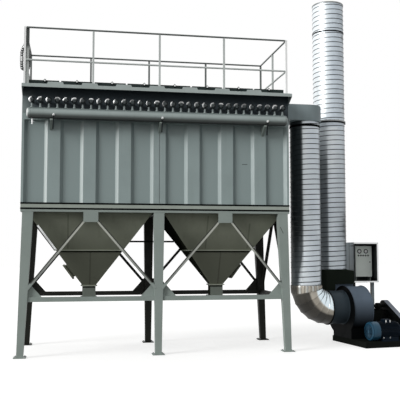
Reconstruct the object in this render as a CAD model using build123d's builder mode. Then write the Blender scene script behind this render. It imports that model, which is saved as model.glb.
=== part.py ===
from build123d import *
import os
from math import cos, exp, hypot, radians, sin

os.makedirs("parts", exist_ok=True)

# Driving dimensions, in millimetres
# The origin is on the floor, under the middle of the housing: X along the valves, -Y to the front
housing_length = 5400
housing_width = 2140
module_gap = 8  # the housing is two modules bolted side by side

# Support frame
leg_top_width = 210
leg_foot_width = 130
leg_top_depth = 150
leg_foot_depth = 120
leg_top_x = 2560  # corner legs lean out a little towards the foot
leg_foot_x = 2666
leg_inset = 80  # leg axis behind the housing face
foot_plate = 240
foot_plate_thickness = 16
anchor_spacing = 180
anchor_hole_radius = 9
leg_top = 2806
gusset_reach = 270
gusset_rise = 300
gusset_thickness = 12
top_beam_height = 54
top_beam_depth = 70
tie_beam_bottom = 1061
tie_beam_height = 90
tie_beam_depth = 80
brace_plate_width = 290
brace_plate_height = 195
brace_plate_thickness = 10
brace_angle = 58
brace_steel = 7
brace_lap = 45
brace_foot_height = 1310

# Housing
spacer_height = 12
spacer_inset = 25
spacer_width = 24
base_frame_height = 102
base_frame_depth = 60
base_frame_steel = 8
wall_height = 1620
sheet = 4
rib_pitch = 694
rib_depth = 55
rib_slope = 62
pan_width = 326
long_wall_pans = 8
end_wall_pans = 3
plenum_height = 690
roof_thickness = 28
roof_overhang = 6
cover_count = 8
cover_pitch = 660
cover_gap = 36
cover_depth = 1960
cover_height = 92
cover_rim = 60
cover_rise = 13

# Rain hood over the valves
hood_reach = 250
hood_drop = 62
hood_fascia = 62
hood_sheet = 5
hood_cheek_drop = 190
hood_tab_width = 330
hood_tab_height = 48

# Compressed air header and pulse valves
header_radius = 109.5
header_length = 5206
header_reach = 205
header_height = 4700
header_dish = 70
bracket_width = 50
bracket_drop = 190
bracket_nose = 30
bracket_inset = 470
valve_count = 32
valve_pitch = 161.5
valve_height = 4955
valve_radius = 60
valve_reach = 46  # front of the valve body ahead of the header's axis
valve_flange = 22
valve_body = 76
valve_body_length = 54
valve_boss_radius = 33
valve_boss_length = 18
stem_radius = 20
blow_pipe_radius = 26
small_pipe_sides = 8
seat_gap = 0.3
drain_radius = 16
drain_length = 110
drain_inset = 110
drain_lever_length = 110
drain_lever_width = 26
drain_lever_height = 20
drain_lever_drop = 62

# Hoppers
hopper_x = 1350
hopper_top_length = 2550
hopper_top_width = 1820
hopper_wall = 6
hopper_bottom = 1330
outlet_size = 270
outlet_flange = 340
outlet_flange_thickness = 14
outlet_bolt_spacing = 304
outlet_hole_radius = 7
outlet_neck_bottom = 1080
stiffener_height = 2050
stiffener_size = 50
slope_rib_top = 2610
slope_rib_depth = 60
slope_rib_thickness = 8
hatch_width = 330
hatch_length = 360
hatch_frame = 45
hatch_frame_inset = 30
hatch_round = 42
hatch_thickness = 38
hatch_drop = 1510  # from the hopper's top edge down its outer slope

# Dirty air inlet on the rear wall
inlet_width = 1100
inlet_height = 620
inlet_length = 260
inlet_centre_height = 3500
inlet_flange_width = 50
inlet_bolt_spacing_x = 1150
inlet_bolt_spacing_z = 670

# Roof railing
rail_height = 1126
mid_rail_height = 476
post_size = 38
rail_radius = 18
post_inset = 32
long_side_posts = 5

# Ducts
duct_x = 3400  # axis of the down pipe
duct_radius = 330
duct_sheet = 3
outlet_box_radius = 362
outlet_box_bottom = 4910
outlet_box_height = 350
outlet_box_sheet = 4
duct_band_width = 45
duct_band_lip = 9
duct_band_height = 4790
elbow_radius = 500
elbow_gores = 6
stack_radius = 360
stack_x = 950
stack_y = 620
stack_bottom = 1620
stack_joint = 5060
stack_top = 7905
stack_flange_lip = 24
stack_flange_thickness = 30

# Fan unit, in its own frame: X from the down pipe's axis along the shaft, Y to the rear
fan_turn = 8
shaft_height = 790
fan_inlet_radius = 365
casing_start = 880
casing_width = 480
casing_side_lip = 16
casing_side_plate = 8
scroll_start_radius = 420
scroll_growth = 0.0018  # share of the radius gained in each degree
scroll_start_angle = 50
scroll_steps = 16
discharge_top = 1290
collar_top = 1592
collar_bottom = 1150  # of the part that hangs beside the casing
collar_start = 650
collar_length = 710
collar_depth = 700
casing_foot_length = 800
skid_start = 870
skid_length = 1330
skid_front = -1030
skid_rear = 430
skid_height = 120
skid_plate = 10
skid_wall = 60
pedestal_start = 1480
pedestal_length = 360
pedestal_width = 330
pedestal_top = 700
pedestal_rim = 30
shaft_radius = 34
bearing_width = 80
bearing_size = 150
bearing_foot_reach = 20
bearing_foot_height = 34
motor_y = -790
motor_height = 325
motor_start = 1075
cowl_length = 190
cowl_radius = 200
cowl_round = 40
motor_length = 500
motor_radius = 182
motor_shaft_radius = 24
motor_foot_height = 34
motor_foot_inset = 60
motor_foot_width = 394
motor_base_width = 324
guard_start = 1930
guard_width = 120
guard_fan_radius = 135
guard_motor_radius = 165

# Control cabinet under its own weather hood
cabinet_x = 5102
cabinet_front = 680
weather_hood_width = 615
weather_hood_height = 940
weather_hood_depth = 600
weather_hood_bottom = 1308
weather_hood_sheet = 4
weather_hood_lip = 22
cabinet_offset = 27  # the cabinet stands right of the hood's middle
cabinet_width = 410
cabinet_height = 725
cabinet_depth = 200
cabinet_recess = 205
cabinet_lift = 130
cabinet_foot_width = 22
cabinet_foot_depth = 140
cabinet_foot_setback = 40
cabinet_foot_inset = 25
door_thickness = 20
door_round = 4
stand_post = 60
stand_post_x = 225
stand_setback = 215  # from the hood's front to the middle of the posts
stand_foot = 180
stand_foot_thickness = 10
trunking_width = 60
trunking_depth = 40

# Levels and faces worked out from the sizes above
front_face = -housing_width / 2
base_bottom = leg_top + top_beam_height + spacer_height
wall_bottom = base_bottom + base_frame_height + spacer_height
wall_top = wall_bottom + wall_height
roof_bottom = wall_top + plenum_height
roof_top = roof_bottom + roof_thickness
leg_y = housing_width / 2 - leg_inset


def save(piece, label):
    """Name a finished piece and write it as its own file."""
    piece.label = label
    export_step(piece, f"parts/{label}.step")
    print(label, round(piece.volume / 1e6, 1), "dm3")


# Legs: a tapered column, a foot plate and gussets where the tie beams meet it
leg_rows = {}
for row, row_y in {"legs_front": -leg_y, "legs_rear": leg_y}.items():
    with BuildPart() as leg_row:
        for side in (-1, 0, 1):
            gusset_level = tie_beam_bottom + tie_beam_height
            share = gusset_level / leg_top
            axis_x = side * (leg_foot_x + (leg_top_x - leg_foot_x) * share)
            half_column = (leg_foot_width + (leg_top_width - leg_foot_width) * share) / 2
            with BuildSketch(Plane.XY.offset(foot_plate_thickness)):
                with Locations((side * leg_foot_x, row_y)):
                    Rectangle(leg_foot_width, leg_foot_depth)
            with BuildSketch(Plane.XY.offset(leg_top)):
                with Locations((side * leg_top_x, row_y)):
                    Rectangle(leg_top_width, leg_top_depth)
            loft()
            for inward in [d for d in (-1, 1) if d != side]:
                with BuildSketch(Plane.XZ.offset(-row_y)):
                    with BuildLine():
                        Polyline(
                            (axis_x, gusset_level),
                            (axis_x + inward * (half_column + gusset_reach), gusset_level),
                            (axis_x, gusset_level + gusset_rise * (1 + half_column / gusset_reach)),
                            close=True,
                        )
                    make_face()
                extrude(amount=gusset_thickness / 2, both=True)
            with BuildSketch(Plane.XY):
                with Locations((side * leg_foot_x, row_y)):
                    Rectangle(foot_plate, foot_plate)
                    with GridLocations(anchor_spacing, anchor_spacing, 2, 2):
                        Circle(anchor_hole_radius, mode=Mode.SUBTRACT)
            extrude(amount=foot_plate_thickness)
    leg_rows[row] = leg_row.part
    save(leg_row.part, row)

# Tie beams run from leg to leg and are cut to the legs' sloping faces
with BuildPart() as tie_beams_long:
    with Locations((0, -leg_y, tie_beam_bottom), (0, leg_y, tie_beam_bottom)):
        Box(2 * leg_top_x, tie_beam_depth, tie_beam_height, align=(Align.CENTER, Align.CENTER, Align.MIN))
    for leg_row in leg_rows.values():
        add(leg_row, mode=Mode.SUBTRACT)
save(tie_beams_long.part, "tie_beams_long")

end_tie_x = leg_foot_x + (leg_top_x - leg_foot_x) * tie_beam_bottom / leg_top
with BuildPart() as tie_beams_end:
    with Locations((-end_tie_x, 0, tie_beam_bottom), (0, 0, tie_beam_bottom), (end_tie_x, 0, tie_beam_bottom)):
        Box(tie_beam_depth, 2 * leg_y, tie_beam_height, align=(Align.CENTER, Align.CENTER, Align.MIN))
    for leg_row in leg_rows.values():
        add(leg_row, mode=Mode.SUBTRACT)
    add(tie_beams_long.part, mode=Mode.SUBTRACT)
save(tie_beams_end.part, "tie_beams_end")

# Top ring of the support frame
beam_axis_y = housing_width / 2 - top_beam_depth / 2
beam_axis_x = housing_length / 2 - top_beam_depth / 2
with BuildPart() as top_beams_long:
    with Locations((0, -beam_axis_y, leg_top), (0, beam_axis_y, leg_top)):
        Box(housing_length, top_beam_depth, top_beam_height, align=(Align.CENTER, Align.CENTER, Align.MIN))
save(top_beams_long.part, "top_beams_long")

with BuildPart() as top_beams_cross:
    with Locations((-beam_axis_x, 0, leg_top), (0, 0, leg_top), (beam_axis_x, 0, leg_top)):
        Box(
            top_beam_depth,
            housing_width - 2 * top_beam_depth,
            top_beam_height,
            align=(Align.CENTER, Align.CENTER, Align.MIN),
        )
save(top_beams_cross.part, "top_beams_cross")

# Braces: two angle bars from a plate under the top beam down to the legs of each bay
bay_x = hopper_x
plate_bottom = leg_top - brace_plate_height
plate_y = housing_width / 2 - brace_plate_thickness / 2
plate_x = housing_length / 2 - brace_plate_thickness / 2
with BuildPart() as brace_plates:
    with Locations([(x, y, plate_bottom) for x in (-bay_x, bay_x) for y in (-plate_y, plate_y)]):
        Box(
            brace_plate_width,
            brace_plate_thickness,
            brace_plate_height,
            align=(Align.CENTER, Align.CENTER, Align.MIN),
        )
    with Locations((-plate_x, 0, plate_bottom), (plate_x, 0, plate_bottom)):
        Box(
            brace_plate_thickness,
            brace_plate_width,
            brace_plate_height,
            align=(Align.CENTER, Align.CENTER, Align.MIN),
        )
save(brace_plates.part, "brace_plates")


def brace_bar(start, end, outward):
    """An angle bar from start to end with its flat face turned outward."""
    path = Vector(*end) - Vector(*start)
    across = path.cross(Vector(*outward))
    with BuildPart() as bar:
        with BuildSketch(Plane(origin=start, x_dir=across, z_dir=path)):
            with BuildLine():
                Polyline(
                    (-brace_angle / 2, 0),
                    (brace_angle / 2, 0),
                    (brace_angle / 2, brace_steel),
                    (-brace_angle / 2 + brace_steel, brace_steel),
                    (-brace_angle / 2 + brace_steel, brace_angle),
                    (-brace_angle / 2, brace_angle),
                    close=True,
                )
            make_face()
        extrude(amount=path.length)
        for leg_row in leg_rows.values():
            add(leg_row, mode=Mode.SUBTRACT)
    return bar.part


brace_top = plate_bottom + brace_lap
brace_face_y = housing_width / 2 - brace_plate_thickness
brace_face_x = housing_length / 2 - brace_plate_thickness
bar_top_offset = brace_plate_width / 2 - brace_angle / 2
corner_leg_inner = leg_foot_x - leg_foot_width / 2 + (leg_top_x - leg_foot_x) * brace_foot_height / leg_top
middle_leg_inner = leg_foot_width / 2
with BuildPart() as braces:
    for y_side in (-1, 1):
        face_y = y_side * brace_face_y
        for x_side in (-1, 1):
            outer_top = (x_side * (bay_x + bar_top_offset), face_y, brace_top)
            outer_foot = (x_side * corner_leg_inner, face_y, brace_foot_height)
            inner_top = (x_side * (bay_x - bar_top_offset), face_y, brace_top)
            inner_foot = (x_side * middle_leg_inner, face_y, brace_foot_height)
            end_top = (x_side * brace_face_x, y_side * bar_top_offset, brace_top)
            end_foot = (x_side * brace_face_x, y_side * (leg_y - leg_foot_depth / 2), brace_foot_height)
            add(brace_bar(outer_top, outer_foot, (0, y_side, 0)))
            add(brace_bar(inner_top, inner_foot, (0, y_side, 0)))
            add(brace_bar(end_top, end_foot, (x_side, 0, 0)))
save(braces.part, "braces")

# Hoppers: square pyramids of plate hung by a rim flange, with a stiffening band and a necked outlet
hopper_top = leg_top + top_beam_height
hopper_slope = hopper_top - hopper_bottom
strip_clearance = 2
rim_end_x = housing_length / 2 - spacer_inset - spacer_width - strip_clearance
rim_end_y = housing_width / 2 - spacer_inset - spacer_width - strip_clearance
for label, x_side in {"hopper_left": -1, "hopper_right": 1}.items():
    band_share = (stiffener_height - hopper_bottom) / hopper_slope
    band_length = outlet_size + (hopper_top_length - outlet_size) * band_share
    band_width = outlet_size + (hopper_top_width - outlet_size) * band_share
    outlet_bore = outlet_size - 2 * hopper_wall
    with BuildPart() as hopper:
        for inset, mode in ((0, Mode.ADD), (hopper_wall, Mode.SUBTRACT)):
            with BuildSketch(Plane.XY.offset(hopper_top)):
                with Locations((x_side * hopper_x, 0)):
                    Rectangle(hopper_top_length - 2 * inset, hopper_top_width - 2 * inset)
            with BuildSketch(Plane.XY.offset(hopper_bottom)):
                with Locations((x_side * hopper_x, 0)):
                    Rectangle(outlet_size - 2 * inset, outlet_size - 2 * inset)
            loft(mode=mode)
        with BuildSketch(Plane.XY.offset(hopper_top)):
            with Locations((x_side * (rim_end_x + module_gap / 2) / 2, 0)):
                Rectangle(rim_end_x - module_gap / 2, 2 * rim_end_y)
            with Locations((x_side * hopper_x, 0)):
                Rectangle(
                    hopper_top_length - 2 * hopper_wall,
                    hopper_top_width - 2 * hopper_wall,
                    mode=Mode.SUBTRACT,
                )
        extrude(amount=hopper_wall)
        with BuildSketch(Plane.XY.offset(stiffener_height)):
            with Locations((x_side * hopper_x, 0)):
                Rectangle(band_length + 2 * stiffener_size, band_width + 2 * stiffener_size)
                Rectangle(band_length - 2 * hopper_wall, band_width - 2 * hopper_wall, mode=Mode.SUBTRACT)
        extrude(amount=hopper_wall)
        rib_ends = []
        for level in (stiffener_height, slope_rib_top):
            run = (hopper_top_length - outlet_size) / 2 * (level - hopper_bottom) / hopper_slope
            rib_ends.append((x_side * (hopper_x + outlet_size / 2 + run), level))
        with BuildSketch(Plane.XZ):
            with BuildLine():
                Polyline(
                    (rib_ends[0][0] - x_side * hopper_wall / 2, rib_ends[0][1]),
                    (rib_ends[0][0] + x_side * stiffener_size, rib_ends[0][1]),
                    (rib_ends[1][0] + x_side * slope_rib_depth, rib_ends[1][1]),
                    (rib_ends[1][0] - x_side * hopper_wall / 2, rib_ends[1][1]),
                    close=True,
                )
            make_face()
        extrude(amount=slope_rib_thickness / 2, both=True)
        with BuildSketch(Plane.XY.offset(outlet_neck_bottom)):
            with Locations((x_side * hopper_x, 0)):
                Rectangle(outlet_size, outlet_size)
                Rectangle(outlet_bore, outlet_bore, mode=Mode.SUBTRACT)
        extrude(amount=hopper_bottom - outlet_neck_bottom)
        for level in (outlet_neck_bottom, hopper_bottom - outlet_flange_thickness):
            with BuildSketch(Plane.XY.offset(level)):
                with Locations((x_side * hopper_x, 0)):
                    Rectangle(outlet_flange, outlet_flange)
                    Rectangle(outlet_bore, outlet_bore, mode=Mode.SUBTRACT)
                    with GridLocations(outlet_bolt_spacing, outlet_bolt_spacing, 2, 2):
                        Circle(outlet_hole_radius, mode=Mode.SUBTRACT)
            extrude(amount=outlet_flange_thickness)
    save(hopper.part, label)

# Access hatches, bolted flat on the outer slope of each hopper
slope_run = (hopper_top_length - outlet_size) / 2
slope_length = hypot(slope_run, hopper_slope)
with BuildPart() as hopper_hatches:
    for x_side in (-1, 1):
        share = hatch_drop / slope_length
        seat = (
            x_side * (hopper_x + hopper_top_length / 2 - slope_run * share),
            0,
            hopper_top - hopper_slope * share,
        )
        outward = (x_side * hopper_slope, 0, -slope_run)
        hatch_plane = Plane(origin=seat, x_dir=(0, 1, 0), z_dir=outward)
        with BuildSketch(hatch_plane):
            Rectangle(hatch_width - 2 * hatch_frame_inset, hatch_length - 2 * hatch_frame_inset)
        extrude(amount=hatch_frame)
        with BuildSketch(hatch_plane.offset(hatch_frame)):
            RectangleRounded(hatch_width, hatch_length, hatch_round)
        extrude(amount=hatch_thickness)
save(hopper_hatches.part, "hopper_hatches")

# Base frame of the housing: channels with the web outside, on narrow packing strips
base_axis_y = housing_width / 2 - base_frame_depth
with BuildPart() as base_frame_long:
    for y_side in (-1, 1):
        with BuildSketch(Plane.YZ.offset(-housing_length / 2)):
            with BuildLine():
                web = y_side * housing_width / 2
                tip = y_side * base_axis_y
                Polyline(
                    (web, base_bottom),
                    (tip, base_bottom),
                    (tip, base_bottom + base_frame_steel),
                    (web - y_side * base_frame_steel, base_bottom + base_frame_steel),
                    (web - y_side * base_frame_steel, base_bottom + base_frame_height - base_frame_steel),
                    (tip, base_bottom + base_frame_height - base_frame_steel),
                    (tip, base_bottom + base_frame_height),
                    (web, base_bottom + base_frame_height),
                    close=True,
                )
            make_face()
        extrude(amount=housing_length)
save(base_frame_long.part, "base_frame_long")

with BuildPart() as base_frame_ends:
    for x_side in (-1, 1):
        with BuildSketch(Plane.XZ.offset(base_axis_y)):
            with BuildLine():
                web = x_side * housing_length / 2
                tip = web - x_side * base_frame_depth
                Polyline(
                    (web, base_bottom),
                    (tip, base_bottom),
                    (tip, base_bottom + base_frame_steel),
                    (web - x_side * base_frame_steel, base_bottom + base_frame_steel),
                    (web - x_side * base_frame_steel, base_bottom + base_frame_height - base_frame_steel),
                    (tip, base_bottom + base_frame_height - base_frame_steel),
                    (tip, base_bottom + base_frame_height),
                    (web, base_bottom + base_frame_height),
                    close=True,
                )
            make_face()
        extrude(amount=-2 * base_axis_y)
save(base_frame_ends.part, "base_frame_ends")

with BuildPart() as packing_strips:
    strip_length = housing_length - 2 * spacer_inset
    strip_y = housing_width / 2 - spacer_inset
    for level in (leg_top + top_beam_height, base_bottom + base_frame_height):
        with Locations([(0, y_side * (strip_y - spacer_width / 2), level) for y_side in (-1, 1)]):
            Box(strip_length, spacer_width, spacer_height, align=(Align.CENTER, Align.CENTER, Align.MIN))
        end_x = strip_length / 2 - spacer_width / 2
        with Locations((-end_x, 0, level), (end_x, 0, level)):
            Box(
                spacer_width,
                2 * (strip_y - spacer_width - strip_clearance),
                spacer_height,
                align=(Align.CENTER, Align.CENTER, Align.MIN),
            )
save(packing_strips.part, "packing_strips")


def ribbed_outline(start, end, pans):
    """Points of a ribbed sheet seen from above, from start to end, with depth 0 on the ribs."""
    points = [(start, 0)]
    middle = (start + end) / 2
    for number in range(pans):
        centre = middle + (number - (pans - 1) / 2) * rib_pitch
        half_floor = pan_width / 2
        for offset, depth in (
            (-half_floor - rib_slope, 0),
            (-half_floor, rib_depth),
            (half_floor, rib_depth),
            (half_floor + rib_slope, 0),
        ):
            points.append((centre + offset, depth))
    points.append((end, 0))
    return points


# Ribbed walls: the long ones are in two halves, one for each module
with BuildPart() as long_walls:
    for y_side in (-1, 1):
        outline = ribbed_outline(-housing_length / 2, housing_length / 2, long_wall_pans)
        face = [(x, y_side * (housing_width / 2 - depth)) for x, depth in outline]
        back = [(x, y - y_side * sheet) for x, y in reversed(face)]
        with BuildSketch(Plane.XY.offset(wall_bottom)):
            with BuildLine():
                Polyline(*face, *back, close=True)
            make_face()
            Rectangle(module_gap, 3 * housing_width, mode=Mode.SUBTRACT)
        extrude(amount=wall_height)
save(long_walls.part, "long_walls")

with BuildPart() as end_walls:
    for x_side in (-1, 1):
        outline = ribbed_outline(-housing_width / 2 + sheet, housing_width / 2 - sheet, end_wall_pans)
        face = [(x_side * (housing_length / 2 - depth), y) for y, depth in outline]
        back = [(x - x_side * sheet, y) for x, y in reversed(face)]
        with BuildSketch(Plane.XY.offset(wall_bottom)):
            with BuildLine():
                Polyline(*face, *back, close=True)
            make_face()
        extrude(amount=wall_height)
save(end_walls.part, "end_walls")

# Clean air plenum over the filter bags, closed, with the roof plate and its lift-off covers
with BuildPart() as clean_air_plenum:
    with Locations((0, 0, wall_top)):
        Box(housing_length, housing_width, plenum_height, align=(Align.CENTER, Align.CENTER, Align.MIN))
save(clean_air_plenum.part, "clean_air_plenum")

with BuildPart() as roof_plate:
    with Locations((0, 0, roof_bottom)):
        Box(
            housing_length + 2 * roof_overhang,
            housing_width + 2 * roof_overhang,
            roof_thickness,
            align=(Align.CENTER, Align.CENTER, Align.MIN),
        )
save(roof_plate.part, "roof_plate")

with BuildPart() as roof_covers:
    with Locations((0, 0, roof_top)):
        with GridLocations(cover_pitch, 1, cover_count, 1):
            Box(
                cover_pitch - cover_gap,
                cover_depth,
                cover_height,
                align=(Align.CENTER, Align.CENTER, Align.MIN),
            )
    with Locations((0, 0, roof_top + cover_height)):
        with GridLocations(cover_pitch, 1, cover_count, 1):
            Box(
                cover_pitch - cover_gap - 2 * cover_rim,
                cover_depth - 2 * cover_rim,
                    cover_rise,
                align=(Align.CENTER, Align.CENTER, Align.MAX),
                mode=Mode.SUBTRACT,
            )
save(roof_covers.part, "roof_covers")

# Rain hood: a sloping sheet with a turned-down fascia, tabs at the cover joints and end cheeks
hood_root = front_face - roof_overhang
hood_tip = hood_root - hood_reach
hood_root_z = roof_top
hood_tip_z = hood_root_z - hood_drop
with BuildPart() as rain_hood:
    with BuildSketch(Plane.YZ.offset(-housing_length / 2)):
        with BuildLine():
            Polyline(
                (hood_root, hood_root_z),
                (hood_tip, hood_tip_z),
                (hood_tip, hood_tip_z - hood_fascia),
                (hood_tip + hood_sheet, hood_tip_z - hood_fascia),
                (hood_tip + hood_sheet, hood_tip_z - hood_sheet),
                (hood_root, hood_root_z - hood_sheet),
                close=True,
            )
        make_face()
    extrude(amount=housing_length)
    for x_side in (-1, 1):
        cheek_plane = Plane.YZ.offset(x_side * housing_length / 2 - (hood_sheet if x_side > 0 else 0))
        with BuildSketch(cheek_plane):
            with BuildLine():
                Polyline(
                    (hood_root, hood_root_z - hood_sheet),
                    (hood_tip, hood_tip_z - hood_sheet),
                    (hood_tip, hood_tip_z - hood_fascia),
                    (hood_root, hood_root_z - hood_drop - hood_cheek_drop),
                    close=True,
                )
            make_face()
        extrude(amount=hood_sheet)
    for number in range(cover_count - 1):
        joint_x = (number + 1 - cover_count / 2) * cover_pitch - hood_tab_width / 4
        with BuildSketch(Plane.XZ.offset(-hood_tip)):
            with BuildLine():
                Polyline(
                    (joint_x - hood_tab_width / 2, hood_tip_z - hood_sheet),
                    (joint_x + hood_tab_width / 2, hood_tip_z - hood_sheet),
                    (joint_x + hood_tab_width / 2 - hood_tab_height / 2, hood_tip_z + hood_tab_height),
                    (joint_x - hood_tab_width / 2 + hood_tab_height / 2, hood_tip_z + hood_tab_height),
                    close=True,
                )
            make_face()
        extrude(amount=-hood_sheet)
save(rain_hood.part, "rain_hood")

# Compressed air header on wall brackets
header_y = front_face - header_reach
with BuildPart() as header_pipe:
    with BuildSketch(Plane.YZ.offset(-header_length / 2)):
        with Locations((header_y, header_height)):
            Circle(header_radius)
    extrude(amount=header_length)
    fillet(header_pipe.edges().filter_by(GeomType.CIRCLE), radius=header_dish)
save(header_pipe.part, "header_pipe")

bracket_x = header_length / 2 - bracket_inset
header_underside = header_height - header_radius
with BuildPart() as header_brackets:
    for x in (-bracket_x, 0, bracket_x):
        with BuildSketch(Plane.YZ.offset(x - bracket_width / 2)):
            with BuildLine():
                Polyline(
                    (front_face, header_underside - bracket_drop),
                    (front_face, header_underside - seat_gap),
                    (header_y - header_radius / 2, header_underside - seat_gap),
                    (header_y - header_radius / 2, header_underside - seat_gap - bracket_nose),
                    close=True,
                )
            make_face()
        extrude(amount=bracket_width)
save(header_brackets.part, "header_brackets")

with BuildPart() as drain_valve:
    with Locations((-header_length / 2 + drain_inset, header_y, header_underside - seat_gap)):
        Cylinder(drain_radius, drain_length, align=(Align.CENTER, Align.CENTER, Align.MAX))
        with Locations((0, 0, -drain_lever_drop)):
            Box(drain_lever_length, drain_lever_width, drain_lever_height)
save(drain_valve.part, "drain_valve")

# Pulse valves: flange and boss, body, stem down to the header and blow pipe into the plenum
valve_front = header_y - valve_reach
header_crest = header_height + header_radius + seat_gap
with BuildPart() as pulse_valves:
    for number in range(valve_count):
        x = (number - (valve_count - 1) / 2) * valve_pitch
        with BuildSketch(Plane.XZ.offset(-valve_front)):
            with Locations((x, valve_height)):
                Circle(valve_radius)
        extrude(amount=-valve_flange)
        with BuildSketch(Plane.XZ.offset(-valve_front)):
            with Locations((x, valve_height)):
                RegularPolygon(valve_boss_radius, 6)
        extrude(amount=valve_boss_length)
        with BuildSketch(Plane.XZ.offset(-valve_front)):
            with Locations((x, valve_height)):
                Rectangle(valve_body, valve_body)
        extrude(amount=-valve_flange - valve_body_length)
        with BuildSketch(Plane.XZ.offset(-front_face)):
            with Locations((x, valve_height)):
                RegularPolygon(blow_pipe_radius, small_pipe_sides)
        extrude(amount=front_face - valve_front - valve_flange)
        with BuildSketch(Plane.XY.offset(header_crest)):
            with Locations((x, header_y)):
                RegularPolygon(stem_radius, small_pipe_sides)
        extrude(amount=valve_height - header_crest)
save(pulse_valves.part, "pulse_valves")

# Dirty air inlet, a flanged stub on the rear wall
rear_face = housing_width / 2
with BuildPart() as dirty_air_inlet:
    with BuildSketch(Plane.XZ.offset(-rear_face)):
        with Locations((0, inlet_centre_height)):
            Rectangle(inlet_width, inlet_height)
            Rectangle(inlet_width - 2 * hopper_wall, inlet_height - 2 * hopper_wall, mode=Mode.SUBTRACT)
    extrude(amount=-inlet_length)
    with BuildSketch(Plane.XZ.offset(-rear_face - inlet_length)):
        with Locations((0, inlet_centre_height)):
            Rectangle(inlet_width + 2 * inlet_flange_width, inlet_height + 2 * inlet_flange_width)
            Rectangle(inlet_width - 2 * hopper_wall, inlet_height - 2 * hopper_wall, mode=Mode.SUBTRACT)
            with GridLocations(inlet_bolt_spacing_x, inlet_bolt_spacing_z, 2, 2):
                Circle(outlet_hole_radius, mode=Mode.SUBTRACT)
    extrude(amount=outlet_flange_thickness)
save(dirty_air_inlet.part, "dirty_air_inlet")

# Roof railing: posts on the roof plate, a top rail over them and mid rails between them
post_x = housing_length / 2 - post_inset
post_y = housing_width / 2 - post_inset
post_pitch = 2 * post_x / (long_side_posts - 1)
rail_level = roof_top + rail_height
with BuildPart() as railing_sides:
    for y_side in (-1, 1):
        with Locations((0, y_side * post_y, roof_top)):
            with GridLocations(post_pitch, 1, long_side_posts, 1):
                Box(
                    post_size,
                    post_size,
                    rail_height - rail_radius - seat_gap,
                    align=(Align.CENTER, Align.CENTER, Align.MIN),
                )
        with BuildSketch(Plane.YZ.offset(-post_x - post_size / 2)):
            with Locations((y_side * post_y, rail_level)):
                Circle(rail_radius)
        extrude(amount=2 * post_x + post_size)
        for bay in range(long_side_posts - 1):
            bay_start = -post_x + bay * post_pitch + post_size / 2 + seat_gap
            with BuildSketch(Plane.YZ.offset(bay_start)):
                with Locations((y_side * post_y, roof_top + mid_rail_height)):
                    Circle(rail_radius)
            extrude(amount=post_pitch - post_size - 2 * seat_gap)
save(railing_sides.part, "railing_sides")

with BuildPart() as railing_ends:
    for x_side in (-1, 1):
        with Locations((x_side * post_x, 0, roof_top)):
            Box(
                post_size,
                post_size,
                rail_height - rail_radius - seat_gap,
                align=(Align.CENTER, Align.CENTER, Align.MIN),
            )
        with BuildSketch(Plane.XZ.offset(post_y - rail_radius - seat_gap)):
            with Locations((x_side * post_x, rail_level)):
                Circle(rail_radius)
        extrude(amount=-2 * (post_y - rail_radius - seat_gap))
        for y_side in (-1, 1):
            bay_end = y_side * (post_y - post_size / 2 - seat_gap)
            bay_start = y_side * (post_size / 2 + seat_gap)
            with BuildSketch(Plane.XZ.offset(-bay_start)):
                with Locations((x_side * post_x, roof_top + mid_rail_height)):
                    Circle(rail_radius)
            extrude(amount=bay_start - bay_end)
save(railing_ends.part, "railing_ends")

# Outlet box with a half-round end, and the down pipe under it
with BuildPart() as outlet_box:
    for inset, mode in ((0, Mode.ADD), (outlet_box_sheet, Mode.SUBTRACT)):
        with BuildSketch(Plane.XY.offset(outlet_box_bottom + inset)):
            with Locations((duct_x, 0)):
                Circle(outlet_box_radius - inset)
            with Locations((housing_length / 2, 0)):
                Rectangle(
                    duct_x - housing_length / 2,
                    2 * (outlet_box_radius - inset),
                    align=(Align.MIN, Align.CENTER),
                )
        extrude(amount=outlet_box_height - 2 * inset, mode=mode)
    with BuildSketch(Plane.XY.offset(outlet_box_bottom)):
        with Locations((duct_x, 0)):
            Circle(duct_radius - duct_sheet)
    extrude(amount=outlet_box_sheet, mode=Mode.SUBTRACT)
save(outlet_box.part, "outlet_box")

elbow_top = shaft_height + elbow_radius
with BuildPart() as down_pipe:
    with BuildSketch(Plane.XY.offset(elbow_top)):
        with Locations((duct_x, 0)):
            Circle(duct_radius)
            Circle(duct_radius - duct_sheet, mode=Mode.SUBTRACT)
    extrude(amount=outlet_box_bottom - elbow_top)
    for level in (duct_band_height, elbow_top):
        with BuildSketch(Plane.XY.offset(level)):
            with Locations((duct_x, 0)):
                Circle(duct_radius + duct_band_lip)
                Circle(duct_radius - duct_sheet, mode=Mode.SUBTRACT)
        extrude(amount=duct_band_width)
save(down_pipe.part, "down_pipe")

# The fan unit stands turned a little about the down pipe's axis
fan_place = Location((duct_x, 0, 0), (0, 0, fan_turn))


def elbow_loft(inset, mode):
    """Lobster-back elbow from the down pipe to the fan: straight gores between round sections."""
    sections = []
    for number in range(elbow_gores + 1):
        turn = radians(90 * number / elbow_gores)
        centre = (elbow_radius * (1 - cos(turn)), 0, elbow_top - elbow_radius * sin(turn))
        section_radius = duct_radius + (fan_inlet_radius - duct_radius) * number / elbow_gores - inset
        with BuildSketch(Plane(origin=centre, x_dir=(0, 1, 0), z_dir=(sin(turn), 0, -cos(turn)))) as ring:
            Circle(section_radius)
        sections.append(ring.sketch)
    loft(sections=sections, ruled=True, mode=mode)


with BuildPart() as elbow:
    elbow_loft(0, Mode.ADD)
    elbow_loft(duct_sheet, Mode.SUBTRACT)
save(elbow.part.moved(fan_place), "elbow")

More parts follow.
